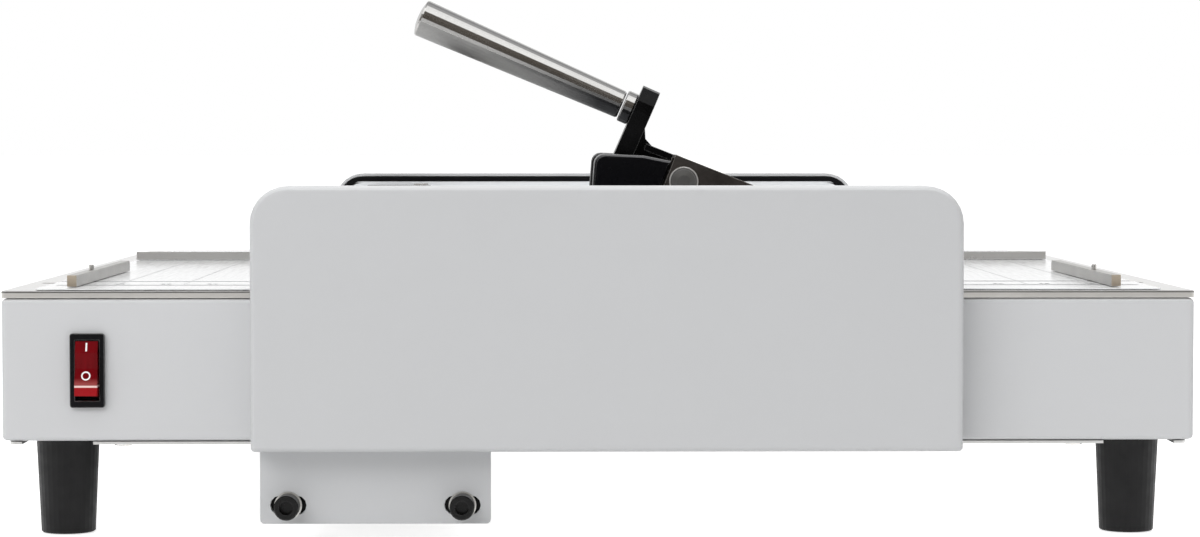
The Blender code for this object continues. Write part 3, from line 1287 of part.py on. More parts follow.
def head_outline():
    corner = HEAD_CORNER_RADIUS
    centre = (HEAD_LEFT_TOP_X + corner, HEAD_TOP_Z - corner)
    top_left = arc(centre, corner, math.pi - HEAD_LEAN, math.pi / 2, ARC_STEPS)
    return [
        (HEAD_LEFT_BOTTOM_X, HEAD_BOTTOM_Z),
        *top_left,
        (HEAD_TOP_MID_X, HEAD_TOP_MID_Z),
        (HEAD_TOP_RIGHT_X, HEAD_TOP_RIGHT_Z),
        (HEAD_RIGHT_X, HEAD_RIGHT_MID_Z),
        (HEAD_RIGHT_X, HEAD_BOTTOM_Z),
    ]


def build_stapler_head(name, y, material, pivot):
    """A moulded cap on the magazine's end, with rounded side edges and a hollow for the lever's arm."""
    outline = head_outline()
    middle = (sum(p[0] for p in outline) / len(outline), sum(p[1] for p in outline) / len(outline))
    rings = []
    steps = HEAD_EDGE_STEPS
    depths = [(i, -1) for i in range(steps + 1)] + [(i, 1) for i in range(steps, -1, -1)]
    for i, side in depths:
        angle = math.pi / 2 * i / steps
        inset = HEAD_EDGE_RADIUS * (1 - math.sin(angle))
        offset = HEAD_HALF_WIDTH - HEAD_EDGE_RADIUS * (1 - math.cos(angle))
        ring = []
        for x, z in outline:
            ring.append(
                (
                    x + math.copysign(min(inset, abs(middle[0] - x)), middle[0] - x),
                    y + side * offset,
                    z + math.copysign(min(inset, abs(middle[1] - z)), middle[1] - z),
                )
            )
        rings.append(ring)
    head = add_piece(f"stapler_head_{name}", loft(rings), material, pivot)

    wall = HEAD_WALL
    inner = HEAD_HALF_WIDTH - wall
    channel = MAGAZINE_HALF_WIDTH + GAP
    roof = HEAD_TOP_RIGHT_Z - wall
    right = HEAD_RIGHT_X + 4 * wall
    left = HEAD_LEFT_TOP_X + wall / 4
    cavity = [
        (left, HEAD_CAVITY_BOTTOM_Z),
        (right, HEAD_CAVITY_BOTTOM_Z),
        (right, HEAD_RIGHT_MID_Z + wall),
        (HEAD_RIGHT_X, roof),
        (left, roof),
    ]
    magazine_way = block(
        (MAGAZINE_TIP_X - GAP, y - channel, HEAD_BOTTOM_Z - OVERRUN),
        (right, y + channel, MAGAZINE_TOP_Z + GAP),
    )
    driver_way = block(
        (DRIVER_X - DRIVER_THICKNESS, y - DRIVER_HALF_WIDTH - GAP, MAGAZINE_BOTTOM_Z),
        (DRIVER_X + 2 * DRIVER_THICKNESS, y + DRIVER_HALF_WIDTH + GAP, HEAD_CAVITY_BOTTOM_Z + OVERRUN),
    )
    cut(head, [prism(cavity, "XZ", y - inner, y + inner)])
    cut(head, [magazine_way])
    cut(head, [driver_way])


def build_magazine(name, y, material, pivot):
    half = MAGAZINE_HALF_WIDTH
    sheet = MAGAZINE_SHEET
    centre = (PIVOT_X, PIVOT_Z)
    low = MAGAZINE_BOTTOM_Z
    high = MAGAZINE_TOP_Z
    start = math.asin((low - PIVOT_Z) / MAGAZINE_EAR_RADIUS)
    end = math.asin((high - PIVOT_Z) / MAGAZINE_EAR_RADIUS)
    ear = arc(centre, MAGAZINE_EAR_RADIUS, -math.pi - start, math.pi - end, 3 * ARC_STEPS)
    outline = [(MAGAZINE_TIP_X, high), (MAGAZINE_TIP_X, low), *ear]
    magazine = add_piece(f"magazine_{name}", prism(outline, "XZ", y - half, y + half), material, pivot)
    hollow = block(
        (MAGAZINE_TIP_X + sheet, y - half + sheet, low + sheet),
        (PIVOT_X - MAGAZINE_EAR_RADIUS - sheet, y + half - sheet, high + OVERRUN),
    )
    staple_mouth = block(
        (DRIVER_X - GAP, y - half + sheet, low - OVERRUN),
        (DRIVER_X + DRIVER_THICKNESS + GAP, y + half - sheet, low + 2 * sheet),
    )
    hole = cylinder("XZ", centre, PIVOT_RADIUS + RUNNING_CLEARANCE, y - 2 * half, y + 2 * half)
    cut(magazine, [hollow])
    cut(magazine, [staple_mouth, hole])


def build_driver(name, y, material, pivot):
    top = ARM_BOTTOM_Z - GAP
    half = DRIVER_HALF_WIDTH
    edge = DRIVER_THICKNESS
    outline = [
        (y - half, DRIVER_BOTTOM_Z),
        (y + half, DRIVER_BOTTOM_Z),
        (y + half, top - edge),
        (y + half - edge, top),
        (y - half + edge, top),
        (y - half, top - edge),
    ]
    add_piece(f"driver_{name}", prism(outline, "YZ", DRIVER_X, DRIVER_X + DRIVER_THICKNESS), material, pivot)


def build_anvil(name, y, material):
    top = PANEL_TOP_Z
    cap_bottom = top - ANVIL_CAP_THICKNESS
    stem_bottom = ANVIL_BEAM_TOP_Z + GAP
    cap = block(
        (ANVIL_X - ANVIL_HALF_LENGTH, y - ANVIL_HALF_DEPTH, cap_bottom),
        (ANVIL_X + ANVIL_HALF_LENGTH, y + ANVIL_HALF_DEPTH, top),
    )
    anvil = add_piece(f"anvil_{name}", cap, material)
    stem = block(
        (ANVIL_X - ANVIL_STEM_HALF, y - ANVIL_STEM_HALF, stem_bottom),
        (ANVIL_X + ANVIL_STEM_HALF, y + ANVIL_STEM_HALF, cap_bottom + GAP),
    )
    join(anvil, [stem])
    grooves = []
    for side in (-1, 1):
        middle = y + side * ANVIL_GROOVE_OFFSET
        grooves.append(
            prism(
                [
                    (middle - ANVIL_GROOVE_HALF_LENGTH, top + OVERRUN),
                    (middle - ANVIL_GROOVE_HALF_LENGTH, top),
                    (middle - ANVIL_GROOVE_HALF_LENGTH / 2, top - ANVIL_GROOVE_DEPTH),
                    (middle + ANVIL_GROOVE_HALF_LENGTH / 2, top - ANVIL_GROOVE_DEPTH),
                    (middle + ANVIL_GROOVE_HALF_LENGTH, top),
                    (middle + ANVIL_GROOVE_HALF_LENGTH, top + OVERRUN),
                ],
                "YZ",
                ANVIL_X - ANVIL_GROOVE_HALF_WIDTH,
                ANVIL_X + ANVIL_GROOVE_HALF_WIDTH,
            )
        )
    cut(anvil, grooves)


def build_anvil_beam(material):
    top = ANVIL_BEAM_TOP_Z
    low = top - ANVIL_BEAM_HEIGHT
    half = ANVIL_BEAM_HALF_WIDTH
    wall = ANVIL_BEAM_WALL
    outline = [
        (ANVIL_X - half, low),
        (ANVIL_X - half + wall, low),
        (ANVIL_X - half + wall, top - wall),
        (ANVIL_X + half - wall, top - wall),
        (ANVIL_X + half - wall, low),
        (ANVIL_X + half, low),
        (ANVIL_X + half, top),
        (ANVIL_X - half, top),
    ]
    add_piece("anvil_beam", prism(outline, "XZ", -INNER_Y + GAP, INNER_Y - GAP), material)


def build_pivot_shaft(material):
    end = PLATE_OUTER_Y + PIVOT_END
    edge = SLOT_MARGIN
    profile = [
        (PIVOT_RADIUS - edge, -end),
        (PIVOT_RADIUS, -end + edge),
        (PIVOT_RADIUS, end - edge),
        (PIVOT_RADIUS - edge, end),
    ]
    add_piece("pivot_shaft", lathe(profile, "XZ", (PIVOT_X, PIVOT_Z)), material)


# Press bar, handle bracket, collar and grip


def build_press_bar(material, pivot):
    reach = STAPLER_SPACING / 2 + LEVER_INNER_HALF_WIDTH + LEVER_SHEET + PRESS_BAR_END
    centre = (PRESS_BAR_X, PRESS_BAR_Z)
    edge = SLOT_MARGIN / 2
    profile = [
        (PRESS_BAR_RADIUS - edge, SPINE_Y - reach),
        (PRESS_BAR_RADIUS, SPINE_Y - reach + edge),
        (PRESS_BAR_RADIUS, SPINE_Y + reach - edge),
        (PRESS_BAR_RADIUS - edge, SPINE_Y + reach),
    ]
    add_piece("press_bar", lathe(profile, "XZ", centre), material, pivot)


def build_handle_bracket(material, pivot):
    """One casting: an arm along the levers and an upright plate square to the handle."""
    slope = lever_slope()
    lean = math.atan2(BRACKET_TOP_X - BRACKET_FOOT_X, BRACKET_TOP_Z - BRACKET_FOOT_Z)
    up = Vector((math.sin(lean), math.cos(lean)))
    across = Vector((math.cos(lean), -math.sin(lean))) * BRACKET_PLATE_THICKNESS
    foot = Vector((BRACKET_FOOT_X, BRACKET_FOOT_Z))
    top = Vector((BRACKET_TOP_X, BRACKET_TOP_Z))
    hub = (PIVOT_X, PIVOT_Z)
    raised = math.pi / 2 - slope
    tip = Vector((LEVER_TIP_X, LEVER_TOP_Z))
    along = Vector((-math.cos(slope), math.sin(slope)))
    right_foot = foot + across
    run = ((right_foot - tip).x * up.y - (right_foot - tip).y * up.x) / (along.x * up.y - along.y * up.x)
    knee = tip + along * run
    heel = foot - up * BRACKET_HEEL_DROP
    inset = across.normalized() * GAP
    arm = [
        tuple(foot + inset),
        tuple(heel + inset),
        (heel.x + BRACKET_HEEL_DROP, heel.y - BRACKET_HEEL_DROP / 2),
    ]
    arm += arc(hub, LEVER_HUB_RADIUS, raised - math.pi + slope / 2, raised, 2 * ARC_STEPS)
    arm += [
        tuple(knee - along * BRACKET_FILLET),
        tuple(knee - along * BRACKET_FILLET / 3 + up * BRACKET_FILLET / 3),
        tuple(knee + up * BRACKET_FILLET),
    ]
    half = BRACKET_HALF_WIDTH
    bracket = add_piece("handle_bracket", prism(arm, "XZ", SPINE_Y - half, SPINE_Y + half), material, pivot)

    plate_height = (top - foot).length + BRACKET_HEEL_DROP / 2
    radius = BRACKET_EYE_RADIUS
    face = [(-radius, 0), (radius, 0), *arc((0, plate_height - radius), radius, 0, math.pi, 2 * ARC_STEPS)]
    start = foot - up * BRACKET_HEEL_DROP / 2
    rings = []
    for step in (Vector((0, 0)), across):
        ring = []
        for sideways, height in face:
            point = start + step + up * height
            ring.append((point.x, SPINE_Y + sideways, point.y))
        rings.append(ring)
    flange_line = [tuple(knee - along * BRACKET_FILLET / 2), tuple(tip - along * BRACKET_FILLET)]
    flange_top = thick_path(flange_line, BRACKET_FLANGE_THICKNESS)
    drop = Vector((-math.sin(slope), -math.cos(slope))) * (BRACKET_FLANGE_THICKNESS / 2 - GAP)
    flange_top = [tuple(Vector(p) + drop) for p in flange_top]
    wide = BRACKET_FLANGE_HALF_WIDTH
    hub_half = BRACKET_HUB_HALF_WIDTH
    join(
        bracket,
        [
            loft(rings),
            prism(flange_top, "XZ", SPINE_Y - wide, SPINE_Y + wide),
            cylinder("XZ", hub, LEVER_HUB_RADIUS - GAP, SPINE_Y - hub_half, SPINE_Y + hub_half),
        ],
    )
    ends = (SPINE_Y - 2 * radius, SPINE_Y + 2 * radius)
    shaft_hole = cylinder("XZ", hub, PIVOT_RADIUS + RUNNING_CLEARANCE, *ends)
    bar_hole = cylinder("XZ", (PRESS_BAR_X, PRESS_BAR_Z), PRESS_BAR_RADIUS + GAP, *ends)
    cut(bracket, [shaft_hole, bar_hole])


def turned_along(profile, start, direction, y, steps=FINE_STEPS):
    """Rings of (radius, distance) about an axis that lies in the XZ plane."""
    rings = []
    side = Vector((-direction.y, direction.x))
    for radius, distance in profile:
        ring = []
        for a, b in circle((0, 0), radius, steps):
            point = start + direction * distance + side * a
            ring.append((point.x, y + b, point.y))
        rings.append(ring)
    return loft(rings)


def build_handle(material, pivot):
    near = Vector((HANDLE_NEAR_X, HANDLE_NEAR_Z))
    far = Vector((HANDLE_FAR_X, HANDLE_FAR_Z))
    outward = (far - near).normalized()
    length = (far - near).length
    foot = Vector((BRACKET_FOOT_X, BRACKET_FOOT_Z))
    top = Vector((BRACKET_TOP_X, BRACKET_TOP_Z))
    up = (top - foot).normalized()
    face_normal = Vector((-up.y, up.x))
    collar_length = (foot - near).dot(-face_normal) - GAP
    edge = COLLAR_EDGE
    collar = [
        (COLLAR_RADIUS - edge, -collar_length),
        (COLLAR_RADIUS, -collar_length + edge),
        (COLLAR_RADIUS, -edge),
        (COLLAR_RADIUS - edge, 0),
    ]
    collar = [(radius, distance - GAP / 2) for radius, distance in collar]
    add_piece("handle_collar", turned_along(collar, near, outward, SPINE_Y), material, pivot)
    rounding = HANDLE_EDGE
    grip = [
        (HANDLE_NEAR_RADIUS - rounding / 2, GAP),
        (HANDLE_NEAR_RADIUS, rounding),
        (HANDLE_FAR_RADIUS, length - rounding - HANDLE_DOME),
        (HANDLE_FAR_RADIUS - rounding * 0.3, length - rounding * 0.3 - HANDLE_DOME),
        (HANDLE_FAR_RADIUS - rounding, length - HANDLE_DOME),
        (HANDLE_FAR_RADIUS / 2, length - HANDLE_DOME / 4),
        (HANDLE_FAR_RADIUS / 8, length),
    ]
    add_piece("handle_grip", turned_along(grip, near, outward, SPINE_Y), material, pivot)


# End stops


def build_end_stop(name, side, bar_material, steel, slider_material):
    """A bar that squares the sheets, on a slider that runs in a slot of the table."""
    inner_x = STOP_INNER_XS[side]
    middle_x = inner_x + side * STOP_BAR_THICKNESS / 2
    half = STOP_BAR_THICKNESS / 2
    low = PANEL_TOP_Z + GAP
    high = low + STOP_BAR_HEIGHT
    pivot = add_pivot(f"stop_{name}_slide", (middle_x, STOP_SLOT_Y, low))
    corner = (STOP_BAR_REAR_Y - STOP_BAR_CORNER, high - STOP_BAR_CORNER)
    outline = [
        (STOP_BAR_FRONT_Y, low),
        (STOP_BAR_REAR_Y, low),
        *arc(corner, STOP_BAR_CORNER, 0, math.pi / 2, ARC_STEPS),
        (STOP_BAR_FRONT_Y, high),
    ]
    body = prism(outline, "YZ", middle_x - half, middle_x + half)
    bar = add_piece(f"end_stop_{name}", body, bar_material, pivot)
    centre = (middle_x, STOP_SLOT_Y)
    bore = STOP_SCREW_RADIUS + GAP / 2
    cut(bar, [cylinder("XY", centre, bore, low - OVERRUN, high + OVERRUN)])

    bottom = TABLE_BOTTOM_Z
    flange_top = bottom + SLIDER_FLANGE_THICKNESS
    neck_half = STOP_SLOT_WIDTH / 2 - GAP
    flange = block(
        (middle_x - SLIDER_FLANGE, STOP_SLOT_Y - SLIDER_FLANGE, bottom),
        (middle_x + SLIDER_FLANGE, STOP_SLOT_Y + SLIDER_FLANGE, flange_top),
    )
    slider = add_piece(f"stop_slider_{name}", flange, slider_material, pivot)
    neck = block(
        (middle_x - neck_half, STOP_SLOT_Y - neck_half, bottom + GAP),
        (middle_x + neck_half, STOP_SLOT_Y + neck_half, PANEL_TOP_Z),
    )
    join(slider, [neck])
    cut(slider, [cylinder("XY", centre, bore, bottom + GAP, PANEL_TOP_Z + OVERRUN)])

    tip = high + STOP_SCREW_PROUD
    edge = STOP_SCREW_RADIUS / 3
    profile = [
        (STOP_SCREW_RADIUS, bottom + 2 * GAP),
        (STOP_SCREW_RADIUS, tip - edge),
        (STOP_SCREW_RADIUS - edge, tip),
    ]
    add_piece(f"stop_screw_{name}", lathe(profile, "XY", centre), steel, pivot)


# Power switch and inlet


def build_switch(bezel_material, rocker_material):
    face = -HALF_DEPTH - GAP
    back = -HALF_DEPTH + SWITCH_BODY_DEPTH
    half_width = SWITCH_WIDTH / 2
    half_height = SWITCH_HEIGHT / 2
    flange = rounded_rectangle(
        (SWITCH_X - half_width, SWITCH_Z - half_height),
        (SWITCH_X + half_width, SWITCH_Z + half_height),
        (SWITCH_CORNER,) * 4,
    )
    bezel = add_piece("switch_bezel", prism(flange, "XZ", face - SWITCH_FLANGE, face), bezel_material)
    body = block(
        (SWITCH_X - SWITCH_BODY_WIDTH / 2, face - SWITCH_FLANGE / 2, SWITCH_Z - SWITCH_BODY_HEIGHT / 2),
        (SWITCH_X + SWITCH_BODY_WIDTH / 2, back, SWITCH_Z + SWITCH_BODY_HEIGHT / 2),
    )
    join(bezel, [body])
    room_x = ROCKER_WIDTH / 2 + ROCKER_ROOM
    room_z = ROCKER_HALF_LENGTH + ROCKER_END_ROOM
    cut(
        bezel,
        [
            block(
                (SWITCH_X - room_x, face - SWITCH_FLANGE - OVERRUN, SWITCH_Z - room_z),
                (SWITCH_X + room_x, face - SWITCH_FLANGE + ROCKER_POCKET_DEPTH, SWITCH_Z + room_z),
            )
        ],
    )
    axis_y = face - SWITCH_FLANGE + ROCKER_PIVOT_DEPTH
    pivot = add_pivot("rocker_axis", (SWITCH_X, axis_y, SWITCH_Z))
    front = face - SWITCH_FLANGE
    outline = [
        (front + ROCKER_BACK, -ROCKER_HALF_LENGTH + ROCKER_END_DROP),
        (front - ROCKER_MIDDLE, -ROCKER_HALF_LENGTH),
        (front - ROCKER_PROUD, -ROCKER_EDGE_AT),
        (front - ROCKER_MIDDLE, 0),
        (front - ROCKER_PROUD, ROCKER_EDGE_AT),
        (front - ROCKER_MIDDLE, ROCKER_HALF_LENGTH),
        (front + ROCKER_BACK, ROCKER_HALF_LENGTH - ROCKER_END_DROP),
    ]
    outline = [(y, SWITCH_Z + z) for y, z in outline]
    outline = turned_about(outline, (axis_y, SWITCH_Z), -ROCKER_TILT)
    half = ROCKER_WIDTH / 2
    add_piece("switch_rocker", prism(outline, "YZ", SWITCH_X - half, SWITCH_X + half), rocker_material, pivot)


def build_power_inlet(material):
    face = HALF_DEPTH + GAP
    front = HALF_DEPTH - INLET_BODY_DEPTH
    half_width = INLET_FLANGE_WIDTH / 2
    half_height = INLET_FLANGE_HEIGHT / 2
    corner = INLET_CORNER
    flange = rounded_rectangle(
        (INLET_X - half_width, INLET_Z - half_height),
        (INLET_X + half_width, INLET_Z + half_height),
        (corner / 2,) * 4,
    )
    inlet = add_piece("power_inlet", prism(flange, "XZ", face, face + INLET_FLANGE), material)
    body = block(
        (INLET_X - INLET_BODY_WIDTH / 2, front, INLET_Z - INLET_BODY_HEIGHT / 2),
        (INLET_X + INLET_BODY_WIDTH / 2, face + INLET_FLANGE / 2, INLET_Z + INLET_BODY_HEIGHT / 2),
    )
    join(inlet, [body])
    wide = INLET_POCKET_WIDTH / 2
    high = INLET_POCKET_HEIGHT / 2
    mouth = [
        (INLET_X - wide, INLET_Z - high),
        (INLET_X + wide, INLET_Z - high),
        (INLET_X + wide, INLET_Z + high - corner),
        (INLET_X + wide - corner, INLET_Z + high),
        (INLET_X - wide + corner, INLET_Z + high),
        (INLET_X - wide, INLET_Z + high - corner),
    ]
    floor_y = face + INLET_FLANGE - INLET_POCKET_DEPTH
    cut(inlet, [prism(mouth, "XZ", floor_y, face + INLET_FLANGE + OVERRUN)])
    pins = []
    for place_share in (-1, 0, 1):
        x = INLET_X + place_share * INLET_PIN_SPACING
        z = INLET_Z + (INLET_PIN_RISE if place_share == 0 else -INLET_PIN_RISE / 2)
        pins.append(
            block(
                (x - INLET_PIN_WIDTH / 2, floor_y - GAP, z - INLET_PIN_HEIGHT / 2),
                (x + INLET_PIN_WIDTH / 2, floor_y + INLET_PIN_LENGTH, z + INLET_PIN_HEIGHT / 2),
            )
        )
    join(inlet, pins)


def main():
    clear_scene()
    housing_paint = make_material("housing_paint", (0.612, 0.617, 0.622), 0.42)
    cover_paint = make_material("cover_paint", (0.622, 0.627, 0.632), 0.4)
    tray_steel = make_material("tray_steel", (0.62, 0.6, 0.57), 0.3, 1.0)
    panel_paint = make_material("panel_paint", (0.9, 0.9, 0.9), 0.36)
    plate_paint = make_material("plate_paint", (0.5, 0.505, 0.515), 0.45)
    foot_rubber = make_material("foot_rubber", (0.02, 0.02, 0.021), 0.65)
    trim_plastic = make_material("trim_plastic", (0.012, 0.012, 0.013), 0.4)
    black_plastic = make_material("black_plastic", (0.011, 0.011, 0.012), 0.38)
    black_casting = make_material("black_casting", (0.012, 0.012, 0.013), 0.42)
    handle_steel = make_material("handle_steel", (0.6, 0.6, 0.59), 0.28, 1.0)
    lever_steel = make_material("lever_steel", (0.09, 0.09, 0.095), 0.35, 1.0)
    black_oxide = make_material("black_oxide", (0.018, 0.018, 0.018), 0.4)
    fence_steel = make_material("fence_steel", (0.66, 0.66, 0.65), 0.32, 1.0)
    red_plastic = make_material("red_plastic", (0.5, 0.008, 0.012), 0.28)
    steel = make_material("zinc_steel", (0.55, 0.55, 0.54), 0.32, 1.0)
    bright_steel = make_material("bright_steel", (0.66, 0.65, 0.63), 0.24, 1.0)
    stop_aluminium = make_material("stop_aluminium", (0.55, 0.53, 0.5), 0.35, 1.0)
    roller_rubber = make_material("roller_rubber", (0.03, 0.03, 0.033), 0.7)
    motor_steel = make_material("motor_steel", (0.3, 0.3, 0.31), 0.4, 1.0)

    build_base_housing(housing_paint)
    build_bottom_frame(steel)
    build_feet(foot_rubber)
    build_bottom_plate(steel)
    build_table_plate(tray_steel)
    build_surface_panel(panel_paint)
    build_rear_fences(fence_steel)
    build_cover("front", -1, cover_paint, trim_plastic)
    build_cover("rear", 1, cover_paint, trim_plastic)
    build_side_plate("front", -1, plate_paint)
    build_side_plate("rear", 1, plate_paint)
    build_bearing_plate("front", -1, steel)
    build_bearing_plate("rear", 1, steel)
    build_rollers(roller_rubber, bright_steel)
    build_fold_motor(motor_steel)
    knife_pivot = add_pivot("knife_slide", (FOLD_X, SPINE_Y, BEAM_TOP_Z))
    build_knife(bright_steel, black_casting, knife_pivot)
    build_guide_rods(bright_steel)
    build_pinion_shaft(bright_steel)
    build_knife_motor(motor_steel)
    build_exit_guides(steel)
    build_tie_bolts(black_oxide)

    build_pivot_shaft(bright_steel)
    build_anvil_beam(steel)
    lever_pivot = add_pivot("lever_axis", (PIVOT_X, SPINE_Y, PIVOT_Z))
    for name, y in zip(("front", "rear"), STAPLER_YS):
        build_press_lever(name, y, lever_steel, lever_pivot)
        unit_pivot = add_pivot(f"stapler_axis_{name}", (PIVOT_X, y, PIVOT_Z))
        build_stapler_head(name, y, black_plastic, unit_pivot)
        build_magazine(name, y, steel, unit_pivot)
        driver_pivot = add_pivot(f"driver_slide_{name}", (DRIVER_X, y, ARM_BOTTOM_Z))
        build_driver(name, y, bright_steel, driver_pivot)
        build_anvil(name, y, bright_steel)
    build_press_bar(bright_steel, lever_pivot)
    build_handle_bracket(black_casting, lever_pivot)
    build_handle(handle_steel, lever_pivot)

    build_end_stop("left", -1, stop_aluminium, bright_steel, black_plastic)
    build_end_stop("right", 1, stop_aluminium, bright_steel, black_plastic)
    build_switch(black_plastic, red_plastic)
    build_power_inlet(black_plastic)


main()
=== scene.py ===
"""Booklet maker: finishes, small fasteners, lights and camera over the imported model."""

import json
import math

import bmesh
import bpy
from mathutils import Matrix, Vector


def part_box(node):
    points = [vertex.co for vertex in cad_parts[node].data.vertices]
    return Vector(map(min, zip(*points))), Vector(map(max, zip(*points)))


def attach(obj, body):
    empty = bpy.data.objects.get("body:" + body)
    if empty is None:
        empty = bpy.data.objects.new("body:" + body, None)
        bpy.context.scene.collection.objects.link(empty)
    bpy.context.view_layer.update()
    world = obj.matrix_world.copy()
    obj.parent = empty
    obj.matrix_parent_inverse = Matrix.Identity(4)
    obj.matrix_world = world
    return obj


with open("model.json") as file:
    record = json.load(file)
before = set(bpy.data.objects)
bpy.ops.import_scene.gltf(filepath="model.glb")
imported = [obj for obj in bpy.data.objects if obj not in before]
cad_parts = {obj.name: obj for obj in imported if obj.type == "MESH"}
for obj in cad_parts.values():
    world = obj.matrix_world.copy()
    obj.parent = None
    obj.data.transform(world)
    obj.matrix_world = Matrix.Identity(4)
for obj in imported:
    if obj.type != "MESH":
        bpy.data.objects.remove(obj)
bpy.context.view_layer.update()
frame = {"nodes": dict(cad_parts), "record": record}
MM = 0.001
SIDES = (-1, 1)
UP = (0, 0, 1)
DOWN = (0, 0, -1)

# Places and sizes of the solids that finishes and small pieces follow, in millimetres
STAPLE_X = 3.4
STAPLER_YS = {"front": -137.5, "rear": -12.5}
FOLD_X = -95
RIVET_X = 38.2
RIVET_Z = 148.9
RIVET_RADIUS = 6.4
RIVET_RIM_RADIUS = 5.8
RIVET_RING_PITCH = 0.55
HANDLE_NEAR_X = 12.7
HANDLE_NEAR_RISE = 78.5
HANDLE_FAR_X = -82.6
HANDLE_FAR_RISE = 119.9
HANDLE_SHADE_X = 16
BOLT_HEAD_LENGTH = 9.5
SWITCH_X = -213.8
SWITCH_FRONT_Y = -229.3
ROCKER_AXIS = (-225.3, 71.0)
ROCKER_TILT = math.radians(9)
ROCKER_PROUD = 3.3
ROCKER_MIDDLE = 2.3
ROCKER_EDGE_AT = 6.6
ROCKER_HALF_LENGTH = 11.5
ROCKER_LIP_Z = 64.6


# Materials


# Colours of painted highlights on edges, rims and tops, painted shade, glow and reflections, dust,
# grooves and bare places
LIT_PAINT = (0.9, 0.905, 0.91)
EDGE_HIGHLIGHT_PAINT = (0.93, 0.935, 0.94)
EDGE_HIGHLIGHT_BLACK = (0.3, 0.3, 0.3)
LIT_TRAY = (0.97, 0.965, 0.955)
HANDLE_SHADE = (0.03, 0.031, 0.034)
HANDLE_RIM_HIGHLIGHT = (0.95, 0.95, 0.95)
PIT_BLACK = (0.02, 0.018, 0.016)
PALE_EDGE_STEEL = (0.5, 0.48, 0.45)
RIVET_FACE = (0.2, 0.2, 0.195)
RIVET_RIM_HIGHLIGHT = (0.7, 0.69, 0.67)
PLASTIC_TOP_SHEEN = (0.45, 0.45, 0.46)
ENAMEL_DUST = (0.09, 0.09, 0.088)
WASHER_ZINC = (0.62, 0.61, 0.58)
ROCKER_PAINTED_GLOW = (0.6, 0.17, 0.16)
ROCKER_BELOW_REFLECTION = (0.33, 0.006, 0.01)
ROCKER_LIP_HIGHLIGHT = (0.95, 0.72, 0.68)
SAWN_END = (0.6, 0.52, 0.42)

# Grain that runs along one axis, in streaks to the metre
ALONG_X = (30, 1400, 1400)
ALONG_Y = (1400, 30, 1400)


def shaded(colour, factor):
    return tuple(min(1.0, c * factor) for c in colour)


class Wiring:
    """A short way to add and join the nodes of a material or of the world."""

    def __init__(self, tree):
        self.tree = tree

    def add(self, kind, **values):
        node = self.tree.nodes.new(kind)
        for key, value in values.items():
            setattr(node, key, value)
        return node

    def feed(self, socket, value):
        """Set a colour or a number on a socket, or link an output to it."""
        if isinstance(value, tuple):
            socket.default_value = (*value, 1)
        elif isinstance(value, (int, float)):
            socket.default_value = value
        else:
            self.tree.links.new(value, socket)

    def split(self, vector):
        """The X, Y and Z of a vector."""
        parts = self.add("ShaderNodeSeparateXYZ")
        self.feed(parts.inputs["Vector"], vector)
        return parts.outputs

    def operate(self, operation, *values):
        """The result of a sum on sockets and numbers."""
        node = self.add("ShaderNodeMath", operation=operation)
        for socket, value in zip(node.inputs, values):
            self.feed(socket, value)
        return node.outputs[0]

    def mix(self, factor, first, second):
        """A colour between two colours."""
        node = self.add("ShaderNodeMix", data_type="RGBA")
        self.feed(node.inputs["Factor"], factor)
        self.feed(node.inputs[6], first)
        self.feed(node.inputs[7], second)
        return node.outputs[2]


